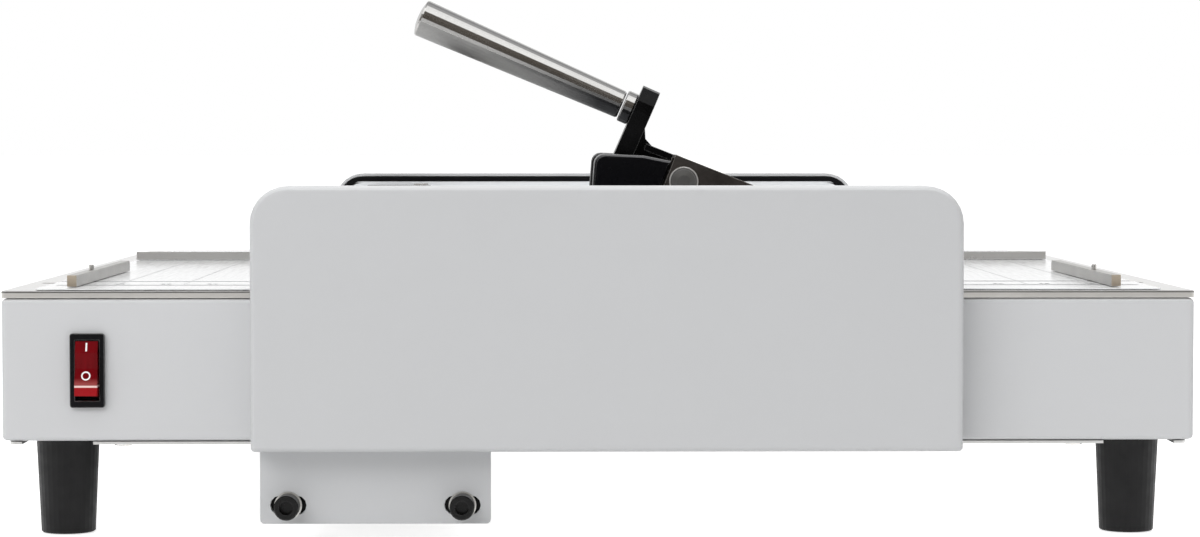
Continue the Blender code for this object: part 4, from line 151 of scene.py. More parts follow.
class Shading(Wiring):
    """A procedural material, laid out in the frame of the piece that wears it."""

    def __init__(self, name):
        self.material = bpy.data.materials.new(name)
        self.material.use_nodes = True
        super().__init__(self.material.node_tree)
        self.shader = self.tree.nodes["Principled BSDF"]
        coordinates = self.add("ShaderNodeTexCoord").outputs
        self.place = coordinates["Object"]
        self.facing = coordinates["Normal"]
        self.normal = None

    def mapped(self, change, amount, vector=None):
        """The place, or another vector, turned or stretched."""
        mapping = self.add("ShaderNodeMapping")
        mapping.inputs[change].default_value = amount
        self.feed(mapping.inputs["Vector"], vector or self.place)
        return mapping.outputs["Vector"]

    def noise(self, scale, detail=2.0, roughness=0.5, vector=None):
        """Clouded grain, with its scale in patches to the metre."""
        noise = self.add("ShaderNodeTexNoise")
        for key, value in (("Scale", scale), ("Detail", detail), ("Roughness", roughness)):
            self.feed(noise.inputs[key], value)
        self.feed(noise.inputs["Vector"], vector or self.place)
        return noise.outputs["Fac"]

    def spread(self, value, low, high, start=0.3, end=0.7):
        """Carry start to low and end to high, and hold those beyond."""
        spread = self.add("ShaderNodeMapRange")
        self.feed(spread.inputs["Value"], value)
        limits = (("From Min", start), ("From Max", end), ("To Min", low), ("To Max", high))
        for key, limit in limits:
            self.feed(spread.inputs[key], limit)
        return spread.outputs["Result"]

    def mottled(self, noise, colour, dark, light):
        """A colour that drifts between a darker and a lighter shade of itself."""
        return self.mix(self.spread(noise, 0.0, 1.0), shaded(colour, dark), shaded(colour, light))

    def round_edges(self, radius):
        bevel = self.add("ShaderNodeBevel", samples=4)
        self.feed(bevel.inputs["Radius"], radius)
        self.normal = bevel.outputs["Normal"]

    def upward(self, amount, start=0.35, end=0.9):
        """How far a surface faces up in the piece's own frame."""
        return self.spread(self.split(self.facing)["Z"], 0.0, amount, start, end)

    def edge_mask(self, amount, start=0.8, end=0.985):
        """How far the rounded normal leaves the flat one: a mask along the edges of a piece, where
        lighter colours are painted, most of them painted highlights.
        """
        flat = self.add("ShaderNodeNewGeometry").outputs["Normal"]
        dot = self.add("ShaderNodeVectorMath", operation="DOT_PRODUCT")
        self.feed(dot.inputs[0], self.normal)
        self.feed(dot.inputs[1], flat)
        return self.spread(dot.outputs["Value"], amount, 0.0, start, end)

    def bump(self, height, strength, distance):
        bump = self.add("ShaderNodeBump")
        self.feed(bump.inputs["Strength"], strength)
        self.feed(bump.inputs["Distance"], distance)
        self.feed(bump.inputs["Height"], height)
        self.feed(bump.inputs["Normal"], self.normal)
        self.normal = bump.outputs["Normal"]

    def finish(self, colour, roughness, **constants):
        self.feed(self.shader.inputs["Base Color"], colour)
        self.feed(self.shader.inputs["Roughness"], roughness)
        self.feed(self.shader.inputs["Normal"], self.normal)
        for key, value in constants.items():
            self.feed(self.shader.inputs[key.replace("_", " ")], value)
        return self.material


def powder_coat(name, colour, roughness, edge=0.7 * MM, rear_lit_colour=None):
    """Baked powder: a fine orange peel, faint clouding, painted highlights on tops and edges, and a
    rear piece painted paler against the shade it lies in.
    """
    s = Shading(name)
    tone = s.mottled(s.noise(9, 3.0), colour, 0.99, 1.01)
    # Painted light: the rear piece is paler, to lift the shade it lies in
    if rear_lit_colour:
        rear = s.spread(s.split(s.place)["Y"], 0.0, 1.0, -0.01, 0.01)
        tone = s.mix(rear, tone, rear_lit_colour)
    speck = s.spread(s.noise(2600, 1.0), 0.0, 0.06, 0.35, 0.75)
    tone = s.mix(speck, tone, shaded(colour, 0.88))
    rough = s.spread(s.noise(60, 3.0), roughness - 0.04, roughness + 0.05)
    s.round_edges(edge)
    # Painted highlight on faces that look up
    tone = s.mix(s.upward(0.4), tone, LIT_PAINT)
    # Painted highlight along the edges
    tone = s.mix(s.edge_mask(0.85), tone, EDGE_HIGHLIGHT_PAINT)
    s.bump(s.noise(950, 2.0, 0.55), 0.35, 0.05 * MM)
    return s.finish(tone, rough, Specular_IOR_Level=0.5)


def laminate(name, colour, roughness):
    """A smooth glossy sheet with hairline rubbing marks."""
    s = Shading(name)
    hairs = s.noise(1.0, 3.0, 0.6, s.mapped("Scale", (900, 40, 40)))
    tone = s.mottled(s.noise(14, 3.0), colour, 0.985, 1.01)
    rough = s.spread(hairs, roughness - 0.02, roughness + 0.06)
    s.round_edges(0.15 * MM)
    s.bump(hairs, 0.05, 0.02 * MM)
    return s.finish(tone, rough, Specular_IOR_Level=0.5)


def sheet_metal(name, colour, roughness, grain=ALONG_X, edge=0.35 * MM, spangle=0.0):
    """Rolled or ground metal with streaks along one way, soft stains and bright edges."""
    s = Shading(name)
    lines = s.noise(1.0, 4.0, 0.6, s.mapped("Scale", grain))
    stain = s.noise(35, 4.0, 0.6)
    tone = s.mottled(stain, colour, 0.93, 1.04)
    tone = s.mix(s.spread(lines, 0.0, 0.3), tone, shaded(colour, 0.8))
    if spangle:
        cells = s.add("ShaderNodeTexVoronoi", feature="F1")
        s.feed(cells.inputs["Scale"], 260)
        s.feed(cells.inputs["Vector"], s.place)
        flake = s.spread(cells.outputs["Color"], 0.0, spangle, 0.2, 0.9)
        tone = s.mix(flake, tone, shaded(colour, 1.18))
    rough = s.spread(stain, roughness - 0.05, roughness + 0.08)
    s.round_edges(edge)
    tone = s.mix(s.edge_mask(0.5), tone, shaded(colour, 1.4))
    s.bump(lines, 0.25, 0.02 * MM)
    return s.finish(tone, rough, Metallic=1.0)


def hemmed_tray(name, colour, roughness, top):
    """Brushed stainless tray with a painted shade line just under the top, where its rim is hemmed,
    and a painted reflection on its upper face.
    """
    s = Shading(name)
    lines = s.noise(1.0, 4.0, 0.6, s.mapped("Scale", ALONG_X))
    stain = s.noise(35, 4.0, 0.6)
    tone = s.mottled(stain, colour, 0.95, 1.03)
    tone = s.mix(s.spread(lines, 0.0, 0.25), tone, shaded(colour, 0.8))
    rough = s.spread(stain, roughness - 0.04, roughness + 0.06)
    z = s.split(s.place)["Z"]
    above = s.spread(z, 0.0, 1.0, top - 1.05 * MM, top - 0.85 * MM)
    below = s.spread(z, 1.0, 0.0, top - 0.3 * MM, top - 0.15 * MM)
    s.round_edges(0.35 * MM)
    # Painted shade: a dark line along the rim just under the top
    tone = s.mix(s.operate("MULTIPLY", above, below), tone, shaded(colour, 0.22))
    # Painted reflection: faces that look up are lightened
    tone = s.mix(s.upward(0.9), tone, LIT_TRAY)
    s.bump(lines, 0.3, 0.02 * MM)
    return s.finish(tone, rough, Metallic=1.0)


def turned_metal(name, colour, roughness):
    """Turned bar with fine rings across the depth of the machine."""
    s = Shading(name)
    rings = s.noise(1.0, 3.0, 0.6, s.mapped("Scale", (200, 2200, 200)))
    tone = s.mottled(s.noise(50, 3.0), colour, 0.94, 1.04)
    rough = s.spread(rings, roughness - 0.05, roughness + 0.08)
    s.round_edges(0.25 * MM)
    s.bump(rings, 0.18, 0.02 * MM)
    return s.finish(tone, rough, Metallic=1.0)


def polished_handle(name, colour, roughness, tilt, far_x, near_x):
    """Polished stainless: draw marks along it, painted highlights on the rims, and a painted dark
    reflection on the underside near the bracket.
    """
    s = Shading(name)
    turned = s.mapped("Rotation", (0, tilt, 0))
    lines = s.noise(1.0, 4.0, 0.6, s.mapped("Scale", (25, 1500, 1500), turned))
    tone = s.mix(s.spread(lines, 0.0, 0.5), colour, shaded(colour, 0.8))
    span = near_x - far_x
    near = s.spread(s.split(s.place)["X"], 0.0, 1.0, far_x + span * 0.3, far_x + span * 0.85)
    under = s.upward(0.96, 0.15, -0.2)
    # Painted reflection: the underside darkens towards the bracket, where it faces the black parts
    # below
    tone = s.mix(s.operate("MULTIPLY", near, under), tone, HANDLE_SHADE)
    patches = s.spread(s.noise(45, 4.0, 0.6), roughness - 0.03, roughness + 0.06)
    rough = s.operate("ADD", patches, s.upward(0.14, 0.1, -0.25))
    s.round_edges(0.35 * MM)
    # Painted highlight along the rims
    tone = s.mix(s.edge_mask(0.85), tone, HANDLE_RIM_HIGHLIGHT)
    s.bump(lines, 0.2, 0.015 * MM)
    return s.finish(tone, rough, Metallic=1.0)


def blackened_steel(name, colour, roughness):
    """Brown-black steel plate with paler edges, and a bare turned rivet head with a painted
    highlight round its rim.
    """
    s = Shading(name)
    pits = s.noise(420, 4.0, 0.65)
    tone = s.mottled(s.noise(60, 4.0, 0.6), colour, 0.75, 1.3)
    tone = s.mix(s.spread(pits, 0.0, 0.35, 0.5, 0.8), tone, PIT_BLACK)
    rough = s.spread(pits, roughness - 0.06, roughness + 0.1)
    s.round_edges(0.45 * MM)
    tone = s.mix(s.edge_mask(0.9, 0.85, 0.99), tone, PALE_EDGE_STEEL)

    flat = s.add("ShaderNodeVectorMath", operation="MULTIPLY")
    flat.inputs[1].default_value = (1, 0, 1)
    s.feed(flat.inputs[0], s.place)
    distance = s.add("ShaderNodeVectorMath", operation="DISTANCE")
    distance.inputs[1].default_value = (RIVET_X * MM, 0, RIVET_Z * MM)
    s.feed(distance.inputs[0], flat.outputs["Vector"])
    away = distance.outputs["Value"]
    head = s.spread(away, 1.0, 0.0, RIVET_RADIUS * MM, (RIVET_RADIUS + 0.1) * MM)
    # Painted highlight: a bright ring round the rivet head's rim
    rim_highlight = s.spread(away, 0.0, 1.0, RIVET_RIM_RADIUS * MM, (RIVET_RIM_RADIUS + 0.15) * MM)
    tone = s.mix(head, tone, s.mix(rim_highlight, RIVET_FACE, RIVET_RIM_HIGHLIGHT))
    turns = s.operate("MULTIPLY", away, 2 * math.pi / (RIVET_RING_PITCH * MM))
    s.bump(s.operate("MULTIPLY", s.operate("SINE", turns), head), 0.35, 0.02 * MM)
    s.bump(pits, 0.3, 0.05 * MM)
    return s.finish(tone, rough, Metallic=0.85)


def moulded(name, colour, roughness, grain=0.25, edge=0.4 * MM, edge_highlight=0.12, gloss=0.5, dust_and_sheen=0.0):
    """Moulded plastic with a spark-eroded grain, handling marks, painted highlights on the edges
    and a painted sheen on top.
    """
    s = Shading(name)
    marks = s.noise(1.0, 5.0, 0.65, s.mapped("Scale", (70, 220, 90)))
    tone = s.mottled(s.noise(25, 3.0), colour, 0.85, 1.2)
    rough = s.spread(marks, roughness - 0.05, roughness + 0.09)
    s.round_edges(edge)
    # Painted sheen on faces that look up
    tone = s.mix(s.upward(dust_and_sheen, 0.25, 0.75), tone, PLASTIC_TOP_SHEEN)
    # Painted highlight along the edges
    tone = s.mix(s.edge_mask(edge_highlight), tone, EDGE_HIGHLIGHT_BLACK)
    s.bump(s.noise(1300, 2.0, 0.6), grain, 0.04 * MM)
    return s.finish(tone, rough, Specular_IOR_Level=gloss)


def bolt_metal(name, colour, roughness, washer_y):
    """Black oxide with a fine knurled grain; the washer and shank under the head are zinc."""
    s = Shading(name)
    skin = s.noise(2200, 2.0, 0.6)
    depth = s.operate("ABSOLUTE", s.split(s.place)["Y"])
    bare = s.spread(depth, 1.0, 0.0, washer_y + 0.1 * MM, washer_y + 0.3 * MM)
    tone = s.mottled(s.noise(60, 3.0), colour, 0.8, 1.3)
    tone = s.mix(bare, tone, WASHER_ZINC)
    rough = s.spread(skin, roughness - 0.05, roughness + 0.08)
    s.round_edges(0.3 * MM)
    # Painted highlight along the edges
    tone = s.mix(s.edge_mask(0.2), tone, EDGE_HIGHLIGHT_BLACK)
    s.bump(skin, 0.25, 0.03 * MM)
    return s.finish(tone, rough, Metallic=0.7)


def rocker_plastic(name, colour, roughness, lip_z):
    """Clear red plastic, deep in the middle, with a painted glow and highlight along its lower lip
    and a painted reflection on the facet below it.
    """
    s = Shading(name)
    depth = s.noise(1.0, 3.0, 0.5, s.mapped("Scale", (500, 120, 60)))
    tone = s.mix(s.spread(depth, 0.0, 0.7), colour, shaded(colour, 0.5))
    z = s.split(s.place)["Z"]
    # Painted glow rising from the lower lip
    glow = s.spread(z, 0.5, 0.0, lip_z, lip_z + 3.5 * MM)
    tone = s.mix(glow, tone, ROCKER_PAINTED_GLOW)
    # Painted reflection on the facet below the lip
    below = s.spread(z, 1.0, 0.0, lip_z - 0.5 * MM, lip_z - 0.2 * MM)
    tone = s.mix(below, tone, ROCKER_BELOW_REFLECTION)
    # Painted highlight along the lower lip
    low = s.spread(z, 0.9, 0.0, lip_z + 0.25 * MM, lip_z + 0.6 * MM)
    high = s.spread(z, 0.0, 1.0, lip_z - 0.5 * MM, lip_z - 0.2 * MM)
    tone = s.mix(s.operate("MULTIPLY", low, high), tone, ROCKER_LIP_HIGHLIGHT)
    s.round_edges(0.5 * MM)
    s.bump(s.noise(700, 2.0), 0.03, 0.02 * MM)
    return s.finish(tone, roughness, Specular_IOR_Level=0.09)


def casting(name, colour, roughness):
    """Black enamel over a casting: soft lumps, a fine skin, dust and painted highlights along the
    edges.
    """
    s = Shading(name)
    skin = s.noise(900, 2.0, 0.6)
    dust_and_sheen = s.spread(s.noise(40, 5.0, 0.7), 0.0, 0.06, 0.45, 0.8)
    tone = s.mix(dust_and_sheen, colour, ENAMEL_DUST)
    rough = s.spread(skin, roughness - 0.06, roughness + 0.08)
    s.round_edges(0.6 * MM)
    # Painted highlight along the edges
    tone = s.mix(s.edge_mask(0.5), tone, EDGE_HIGHLIGHT_BLACK)
    s.bump(s.noise(160, 3.0, 0.55), 0.08, 0.2 * MM)
    s.bump(skin, 0.06, 0.05 * MM)
    return s.finish(tone, rough, Specular_IOR_Level=0.12)


def rubber(name, colour, roughness):
    """Moulded rubber with a dull bloom and dust in the grain."""
    s = Shading(name)
    dust_and_sheen = s.spread(s.noise(70, 5.0, 0.7), 0.0, 0.2, 0.45, 0.85)
    tone = s.mix(dust_and_sheen, colour, shaded(colour, 2.0))
    rough = s.spread(s.noise(220, 3.0), roughness - 0.08, roughness + 0.08)
    s.round_edges(0.4 * MM)
    s.bump(s.noise(1500, 2.0, 0.6), 0.25, 0.05 * MM)
    return s.finish(tone, rough, Specular_IOR_Level=0.25)


def stop_metal(name, colour, roughness, front_y):
    """Bead-blasted aluminium bar whose sawn front end has a warm tint."""
    s = Shading(name)
    skin = s.noise(1100, 2.0, 0.6)
    tone = s.mottled(s.noise(45, 3.0), colour, 0.94, 1.05)
    end = s.spread(s.split(s.place)["Y"], 1.0, 0.0, front_y + 0.1 * MM, front_y + 0.4 * MM)
    tone = s.mix(end, tone, SAWN_END)
    rough = s.spread(skin, roughness - 0.04, roughness + 0.08)
    s.round_edges(0.4 * MM)
    tone = s.mix(s.edge_mask(0.4), tone, shaded(colour, 1.3))
    s.bump(skin, 0.2, 0.03 * MM)
    return s.finish(tone, rough, Metallic=1.0)


handle_tilt = math.atan2(HANDLE_FAR_RISE - HANDLE_NEAR_RISE, HANDLE_NEAR_X - HANDLE_FAR_X)
handle_span = (HANDLE_FAR_X * MM, HANDLE_SHADE_X * MM)
tray_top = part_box("table_plate")[1][2]
stop_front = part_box("end_stop_left")[0][1]
washer_face = -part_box("tie_bolt_left")[0][1] - BOLT_HEAD_LENGTH * MM
finishes = {
    "housing_paint": powder_coat("housing_finish", (0.605, 0.611, 0.621), 0.4),
    "cover_paint": powder_coat("cover_finish", (0.565, 0.571, 0.58), 0.36, edge=0.9 * MM),
    "tray_steel": hemmed_tray("tray_finish", (0.66, 0.645, 0.62), 0.38, tray_top),
    "panel_paint": laminate("panel_finish", (0.83, 0.835, 0.84), 0.14),
    "plate_paint": powder_coat(
        "plate_finish", (0.595, 0.602, 0.612), 0.42, edge=0.4 * MM, rear_lit_colour=(0.88, 0.9, 0.92)
    ),
    "foot_rubber": rubber("foot_finish", (0.006, 0.006, 0.0065), 0.5),
    "trim_plastic": moulded("trim_finish", (0.005, 0.005, 0.006), 0.3, edge=0.5 * MM, gloss=0.2),
    "black_plastic": moulded(
        "plastic_finish",
        (0.003, 0.003, 0.004),
        0.24,
        grain=0.1,
        edge=0.7 * MM,
        edge_highlight=0.7,
        gloss=0.1,
        dust_and_sheen=0.3,
    ),
    "black_casting": casting("casting_finish", (0.002, 0.002, 0.0024), 0.27),
    "handle_steel": polished_handle(
        "handle_finish", (0.5, 0.495, 0.485), 0.17, handle_tilt, *handle_span
    ),
    "lever_steel": blackened_steel("lever_finish", (0.085, 0.076, 0.07), 0.36),
    "black_oxide": bolt_metal("oxide_finish", (0.006, 0.006, 0.006), 0.3, washer_face),
    "fence_steel": sheet_metal("fence_finish", (0.9, 0.9, 0.89), 0.3, edge=0.5 * MM),
    "red_plastic": rocker_plastic("red_finish", (0.17, 0.002, 0.005), 0.14, ROCKER_LIP_Z * MM),
    "zinc_steel": sheet_metal("zinc_finish", (0.6, 0.6, 0.59), 0.34, spangle=0.35),
    "bright_steel": turned_metal("bright_finish", (0.66, 0.65, 0.63), 0.24),
    "stop_aluminium": stop_metal("stop_finish", (0.56, 0.55, 0.53), 0.36, stop_front),
    "roller_rubber": rubber("roller_finish", (0.03, 0.03, 0.033), 0.68),
    "motor_steel": sheet_metal("motor_finish", (0.3, 0.3, 0.31), 0.38, grain=ALONG_Y),
}
mark_finish = moulded(
    "mark_finish", (0.9, 0.86, 0.86), 0.4, grain=0.05, edge=0.05 * MM, edge_highlight=0.0
)
ink_finish = moulded(
    "ink_finish", (0.06, 0.065, 0.07), 0.3, grain=0.05, edge=0.02 * MM, edge_highlight=0.0
)

slots = {row["node"]: row["material_slot"] for row in frame["record"]["subparts"]}
for node, solid in frame["nodes"].items():
    for slot in solid.material_slots:
        slot.material = finishes[slots[node]]


# Mesh helpers


SHARP_ANGLE = math.radians(30)


def link(name, mesh, slot_name, body, finish=None):
    """Add a piece to a body, in the finish of its slot unless it has its own."""
    item = bpy.data.objects.new(name, mesh)
    item.data.materials.append(finish or finishes[slot_name])
    bpy.context.scene.collection.objects.link(item)
    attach(item, body)


def to_mesh(shape, name, turn=None):
    mesh = bpy.data.meshes.new(name)
    shape.to_mesh(mesh)
    shape.free()
    if turn:
        mesh.transform(turn)
    mesh.shade_smooth()
    mesh.set_sharp_from_angle(angle=SHARP_ANGLE)
    return mesh


def skinned(rings, closed=False):
    """A closed skin over loops of points, capped at both ends or joined back to the first."""
    shape = bmesh.new()
    loops = [[shape.verts.new(point) for point in ring] for ring in rings]
    following = loops[1:] + loops[:1] if closed else loops[1:]
    for low, high in zip(loops, following):
        for i in range(len(low)):
            j = (i + 1) % len(low)
            shape.faces.new((low[i], low[j], high[j], high[i]))
    if not closed:
        shape.faces.new(loops[0][::-1])
        shape.faces.new(loops[-1])
    bmesh.ops.recalc_face_normals(shape, faces=shape.faces)
    return shape


def lathe(profile, steps, closed=False):
    """A skin turned about Z from (radius, height) points."""
    angles = [2 * math.pi * i / steps for i in range(steps)]
    rings = [[(r * math.cos(a), r * math.sin(a), height) for a in angles] for r, height in profile]
    return skinned(rings, closed)


def facing(point, axis):
    """A matrix that carries local Z to an axis at a point."""
    turn = Vector(axis).to_track_quat("Z", "Y").to_matrix().to_4x4()
    return Matrix.Translation(Vector(point)) @ turn


def carve(base, tool):
    """One mesh less another, as a plain mesh."""
    first = bpy.data.objects.new("carve_base", base)
    second = bpy.data.objects.new("carve_tool", tool)
    for item in (first, second):
        bpy.context.scene.collection.objects.link(item)
    change = first.modifiers.new("Cut", "BOOLEAN")
    change.operation = "DIFFERENCE"
    change.object = second
    bpy.context.view_layer.update()
    graph = bpy.context.evaluated_depsgraph_get()
    result = bpy.data.meshes.new_from_object(first.evaluated_get(graph))
    for item in (first, second):
        bpy.data.objects.remove(item, do_unlink=True)
    return result


# Screws and rings


# Sizes: a screw head's radius and height; a ring's outer and inner radius and its thickness
BOTTOM_SCREW = (4 * MM, 1.5 * MM)
FENCE_SCREW = (2.9 * MM, 0.35 * MM)
ANVIL_SCREW = (2.2 * MM, 0.12 * MM)
FOOT_SCREW = (3.6 * MM, 2.2 * MM)
SHAFT_RING = (9.4 * MM, 5.95 * MM, 1.2 * MM)
BAR_RING = (7 * MM, 4.95 * MM, 1 * MM)
FOOT_WASHER = (4.9 * MM, 2.2 * MM, 1 * MM)

# Heads: how far the foot is sunk, then shares of the radius and of the height up to the crown
PAN_HEAD = (0.2 * MM, ((1, 0.35), (0.93, 0.68), (0.72, 0.92), (0.4, 1)))
FLAT_HEAD = (0.1 * MM, ((1, 0.6), (0.94, 1)))
RECESS_REACH = 0.55
RECESS_WIDTH = 0.13
RECESS_DEPTH = 0.75
HEAD_STEPS = 32
RING_STEPS = 40
RING_EDGE = 0.2

# Places, in millimetres
BOTTOM_SCREW_XS = (-200.5, 200.7, 0)
BOTTOM_SCREW_YS = (-217, 217)
FENCE_SCREW_XS = (-212, -130, -48, 48, 130, 212)
FENCE_SCREW_Y = 80.6
FENCE_FOOT_THICKNESS = 1
ANVIL_SCREW_OFFSET = 8.2
SHAFT_X = 118
SHAFT_Z = 118.4
SHAFT_RING_OFFSET = 17.7
PRESS_BAR_X = 62
PRESS_BAR_Z = 138.9
BAR_RING_YS = (-156.6, 6.6)
FOOT_XS = (-226.8, 226.8)
FOOT_YS = (-199, 199)
FOOT_WASHER_Z = 27.6
FOOT_SCREW_Z = 26.7


def cross_tool(reach, width, top, depth):
    """A closed cross-shaped prism about Z that reaches a depth above and below a level."""
    quarter = [(reach, -width), (reach, width), (width, width)]
    outline = []
    for i in range(4):
        turn = Matrix.Rotation(i * math.pi / 2, 2)
        outline += [tuple(turn @ Vector(point)) for point in quarter]
    return skinned([[(x, y, top + side * depth) for x, y in outline] for side in SIDES])


def screw(name, point, axis, size, head=PAN_HEAD):
    """A cross-head screw of the base whose head stands on a surface."""
    radius, height = size
    sunk, shares = head
    profile = [(radius, -sunk), *((radius * across, height * up) for across, up in shares)]
    recess = cross_tool(radius * RECESS_REACH, radius * RECESS_WIDTH, height, height * RECESS_DEPTH)
    mesh = carve(to_mesh(lathe(profile, HEAD_STEPS), name), to_mesh(recess, "cross"))
    mesh.transform(facing(point, axis))
    link(name, mesh, "bright_steel", "base")


def ring(name, point, axis, size, body):
    """A washer or retaining ring with a soft edge."""
    outer, inner, thickness = size
    edge = thickness * RING_EDGE
    profile = [
        (inner, edge),
        (inner, thickness - edge),
        (inner + edge, thickness),
        (outer - edge, thickness),
        (outer, thickness - edge),
        (outer, edge),
        (outer - edge, 0),
        (inner + edge, 0),
    ]
    shape = lathe(profile, RING_STEPS, closed=True)
    link(name, to_mesh(shape, name, facing(point, axis)), "bright_steel", body)


def add_fasteners():
    """The screws of the bottom plate, fences, anvils and feet, and the rings and washers."""
    plate_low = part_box("bottom_plate")[0][2]
    places = [(x, y) for y in BOTTOM_SCREW_YS for x in BOTTOM_SCREW_XS]
    for i, (x, y) in enumerate(places):
        screw(f"bottom_screw_{i}", (x * MM, y * MM, plate_low), DOWN, BOTTOM_SCREW)

    fence_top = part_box("rear_fence_left")[0][2] + FENCE_FOOT_THICKNESS * MM
    for i, x in enumerate(FENCE_SCREW_XS):
        place = (x * MM, FENCE_SCREW_Y * MM, fence_top)
        screw(f"fence_screw_{i}", place, UP, FENCE_SCREW, FLAT_HEAD)

    anvil_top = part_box("anvil_front")[1][2]
    for unit, y in STAPLER_YS.items():
        for side, hand in zip(SIDES, ("left", "right")):
            place = ((STAPLE_X + side * ANVIL_SCREW_OFFSET) * MM, y * MM, anvil_top)
            screw(f"anvil_screw_{unit}_{hand}", place, UP, ANVIL_SCREW, FLAT_HEAD)

    ends = [(y, side) for y in STAPLER_YS.values() for side in SIDES]
    for i, (y, side) in enumerate(ends):
        place = (SHAFT_X * MM, (y + side * SHAFT_RING_OFFSET) * MM, SHAFT_Z * MM)
        ring(f"shaft_ring_{i}", place, (0, side, 0), SHAFT_RING, "base")
    for i, (y, side) in enumerate(zip(BAR_RING_YS, (1, -1))):
        place = (PRESS_BAR_X * MM, y * MM, PRESS_BAR_Z * MM)
        ring(f"bar_ring_{i}", place, (0, side, 0), BAR_RING, "press_lever")

    feet = [(x, y) for y in FOOT_YS for x in FOOT_XS]
    for i, (x, y) in enumerate(feet):
        ring(f"foot_washer_{i}", (x * MM, y * MM, FOOT_WASHER_Z * MM), DOWN, FOOT_WASHER, "base")
        screw(f"foot_screw_{i}", (x * MM, y * MM, FOOT_SCREW_Z * MM), DOWN, FOOT_SCREW)


# Backings behind the tongues' slots, and the side plates' lips


# In millimetres
BACKING_XS = (-130.05, -57.25)
BACKING_HALF_WIDTH = 10
BACKING_NEAR_Y = 225.7
BACKING_FAR_Y = 226.9
BACKING_LOW_Z = 8
BACKING_HIGH_Z = 21.2
BACKING_EDGE = 0.25
LIP_WIDTH = 0.6
LIP_CORNER_RADIUS = 10.3
LIP_CORNER_STEPS = 8
LIP_FOOT_Z = 108
LIP_SETBACK = 0.1


def plate(name, low, high):
    """A thin black block with its edges broken."""
    shape = bmesh.new()
    bmesh.ops.create_cube(shape, size=1)
    size = Matrix.Diagonal((*(Vector(high) - Vector(low)), 1))
    middle = Matrix.Translation((Vector(high) + Vector(low)) / 2)
    bmesh.ops.transform(shape, matrix=middle @ size, verts=shape.verts)
    bmesh.ops.bevel(
        shape, geom=shape.edges, offset=BACKING_EDGE * MM, segments=2, affect="EDGES"
    )
    link(name, to_mesh(shape, name), "black_plastic", "base")


def add_backings():
    """Black plates close behind the slots of the tongues."""
    places = [(x, side) for side in SIDES for x in BACKING_XS]
    for i, (x, side) in enumerate(places):
        near, far = sorted((side * BACKING_NEAR_Y, side * BACKING_FAR_Y))
        low = ((x - BACKING_HALF_WIDTH) * MM, near * MM, BACKING_LOW_Z * MM)
        high = ((x + BACKING_HALF_WIDTH) * MM, far * MM, BACKING_HIGH_Z * MM)
        plate(f"slot_backing_{i}", low, high)


def lip_path(low, high, grow):
    """The (x, z) line up, over and down a side plate, a growth outside its edge."""
    radius = LIP_CORNER_RADIUS * MM
    reach = radius + grow
    path = [(low[0] - grow, LIP_FOOT_Z * MM)]
    for centre_x, start in ((low[0] + radius, math.pi), (high[0] - radius, math.pi / 2)):
        for i in range(LIP_CORNER_STEPS + 1):
            angle = start - math.pi / 2 * i / LIP_CORNER_STEPS
            x = centre_x + reach * math.cos(angle)
            path.append((x, high[2] - radius + reach * math.sin(angle)))
    path.append((high[0] + grow, LIP_FOOT_Z * MM))
    return path


def plate_lip(name, node):
    """A painted edge strip round a side plate's top that closes its gap to the black trim."""
    low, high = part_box(node)
    near = low[1] + LIP_SETBACK * MM
    far = high[1] - LIP_SETBACK * MM
    inner = lip_path(low, high, 0)
    outer = lip_path(low, high, LIP_WIDTH * MM)
    sections = [
        [(x, y, z) for (x, z), y in ((a, near), (b, near), (b, far), (a, far))]
        for a, b in zip(inner, outer)
    ]
    link(name, to_mesh(skinned(sections), name), "plate_paint", "base")


# Printed scale, whose zero is the line of the staples


# In millimetres
SCALE_END_X = 232
RULE_YS = (-196, -193)
RULE_FOLD_GAP = 3.5
TICK_REACH = 228
TICK_FOLD_GAP = 4
TICK_HALF_WIDTH = 0.1
TICK_LENGTHS = ((10, 6), (5, 4), (1, 2.5))
HALF_SHEETS = (105, 128.5, 148.5, 182, 210)
SHEET_LINE_HALF_WIDTH = 0.15
SHEET_LINE_YS = ((-186, -166), (-154, 64))
NUMBER_OFFSETS = range(30, 231, 20)
NUMBER_DIVISOR = 5
NUMBER_LIMIT_X = 228
NUMBER_Y = -185.5
NUMBER_HEIGHT = 5
INK_THICKNESS = 0.06
INK_LIFT = 0.01

panel_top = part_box("surface_panel")[1][2]


def print_bar(shape, low, high):
    """A line of ink between two (x, y) corners."""
    size = ((high[0] - low[0]) * MM, (high[1] - low[1]) * MM, INK_THICKNESS * MM, 1)
    x = (low[0] + high[0]) / 2 * MM
    y = (low[1] + high[1]) / 2 * MM
    middle = Matrix.Translation((x, y, panel_top + INK_LIFT * MM))
    bmesh.ops.create_cube(shape, size=1, matrix=middle @ Matrix.Diagonal(size))


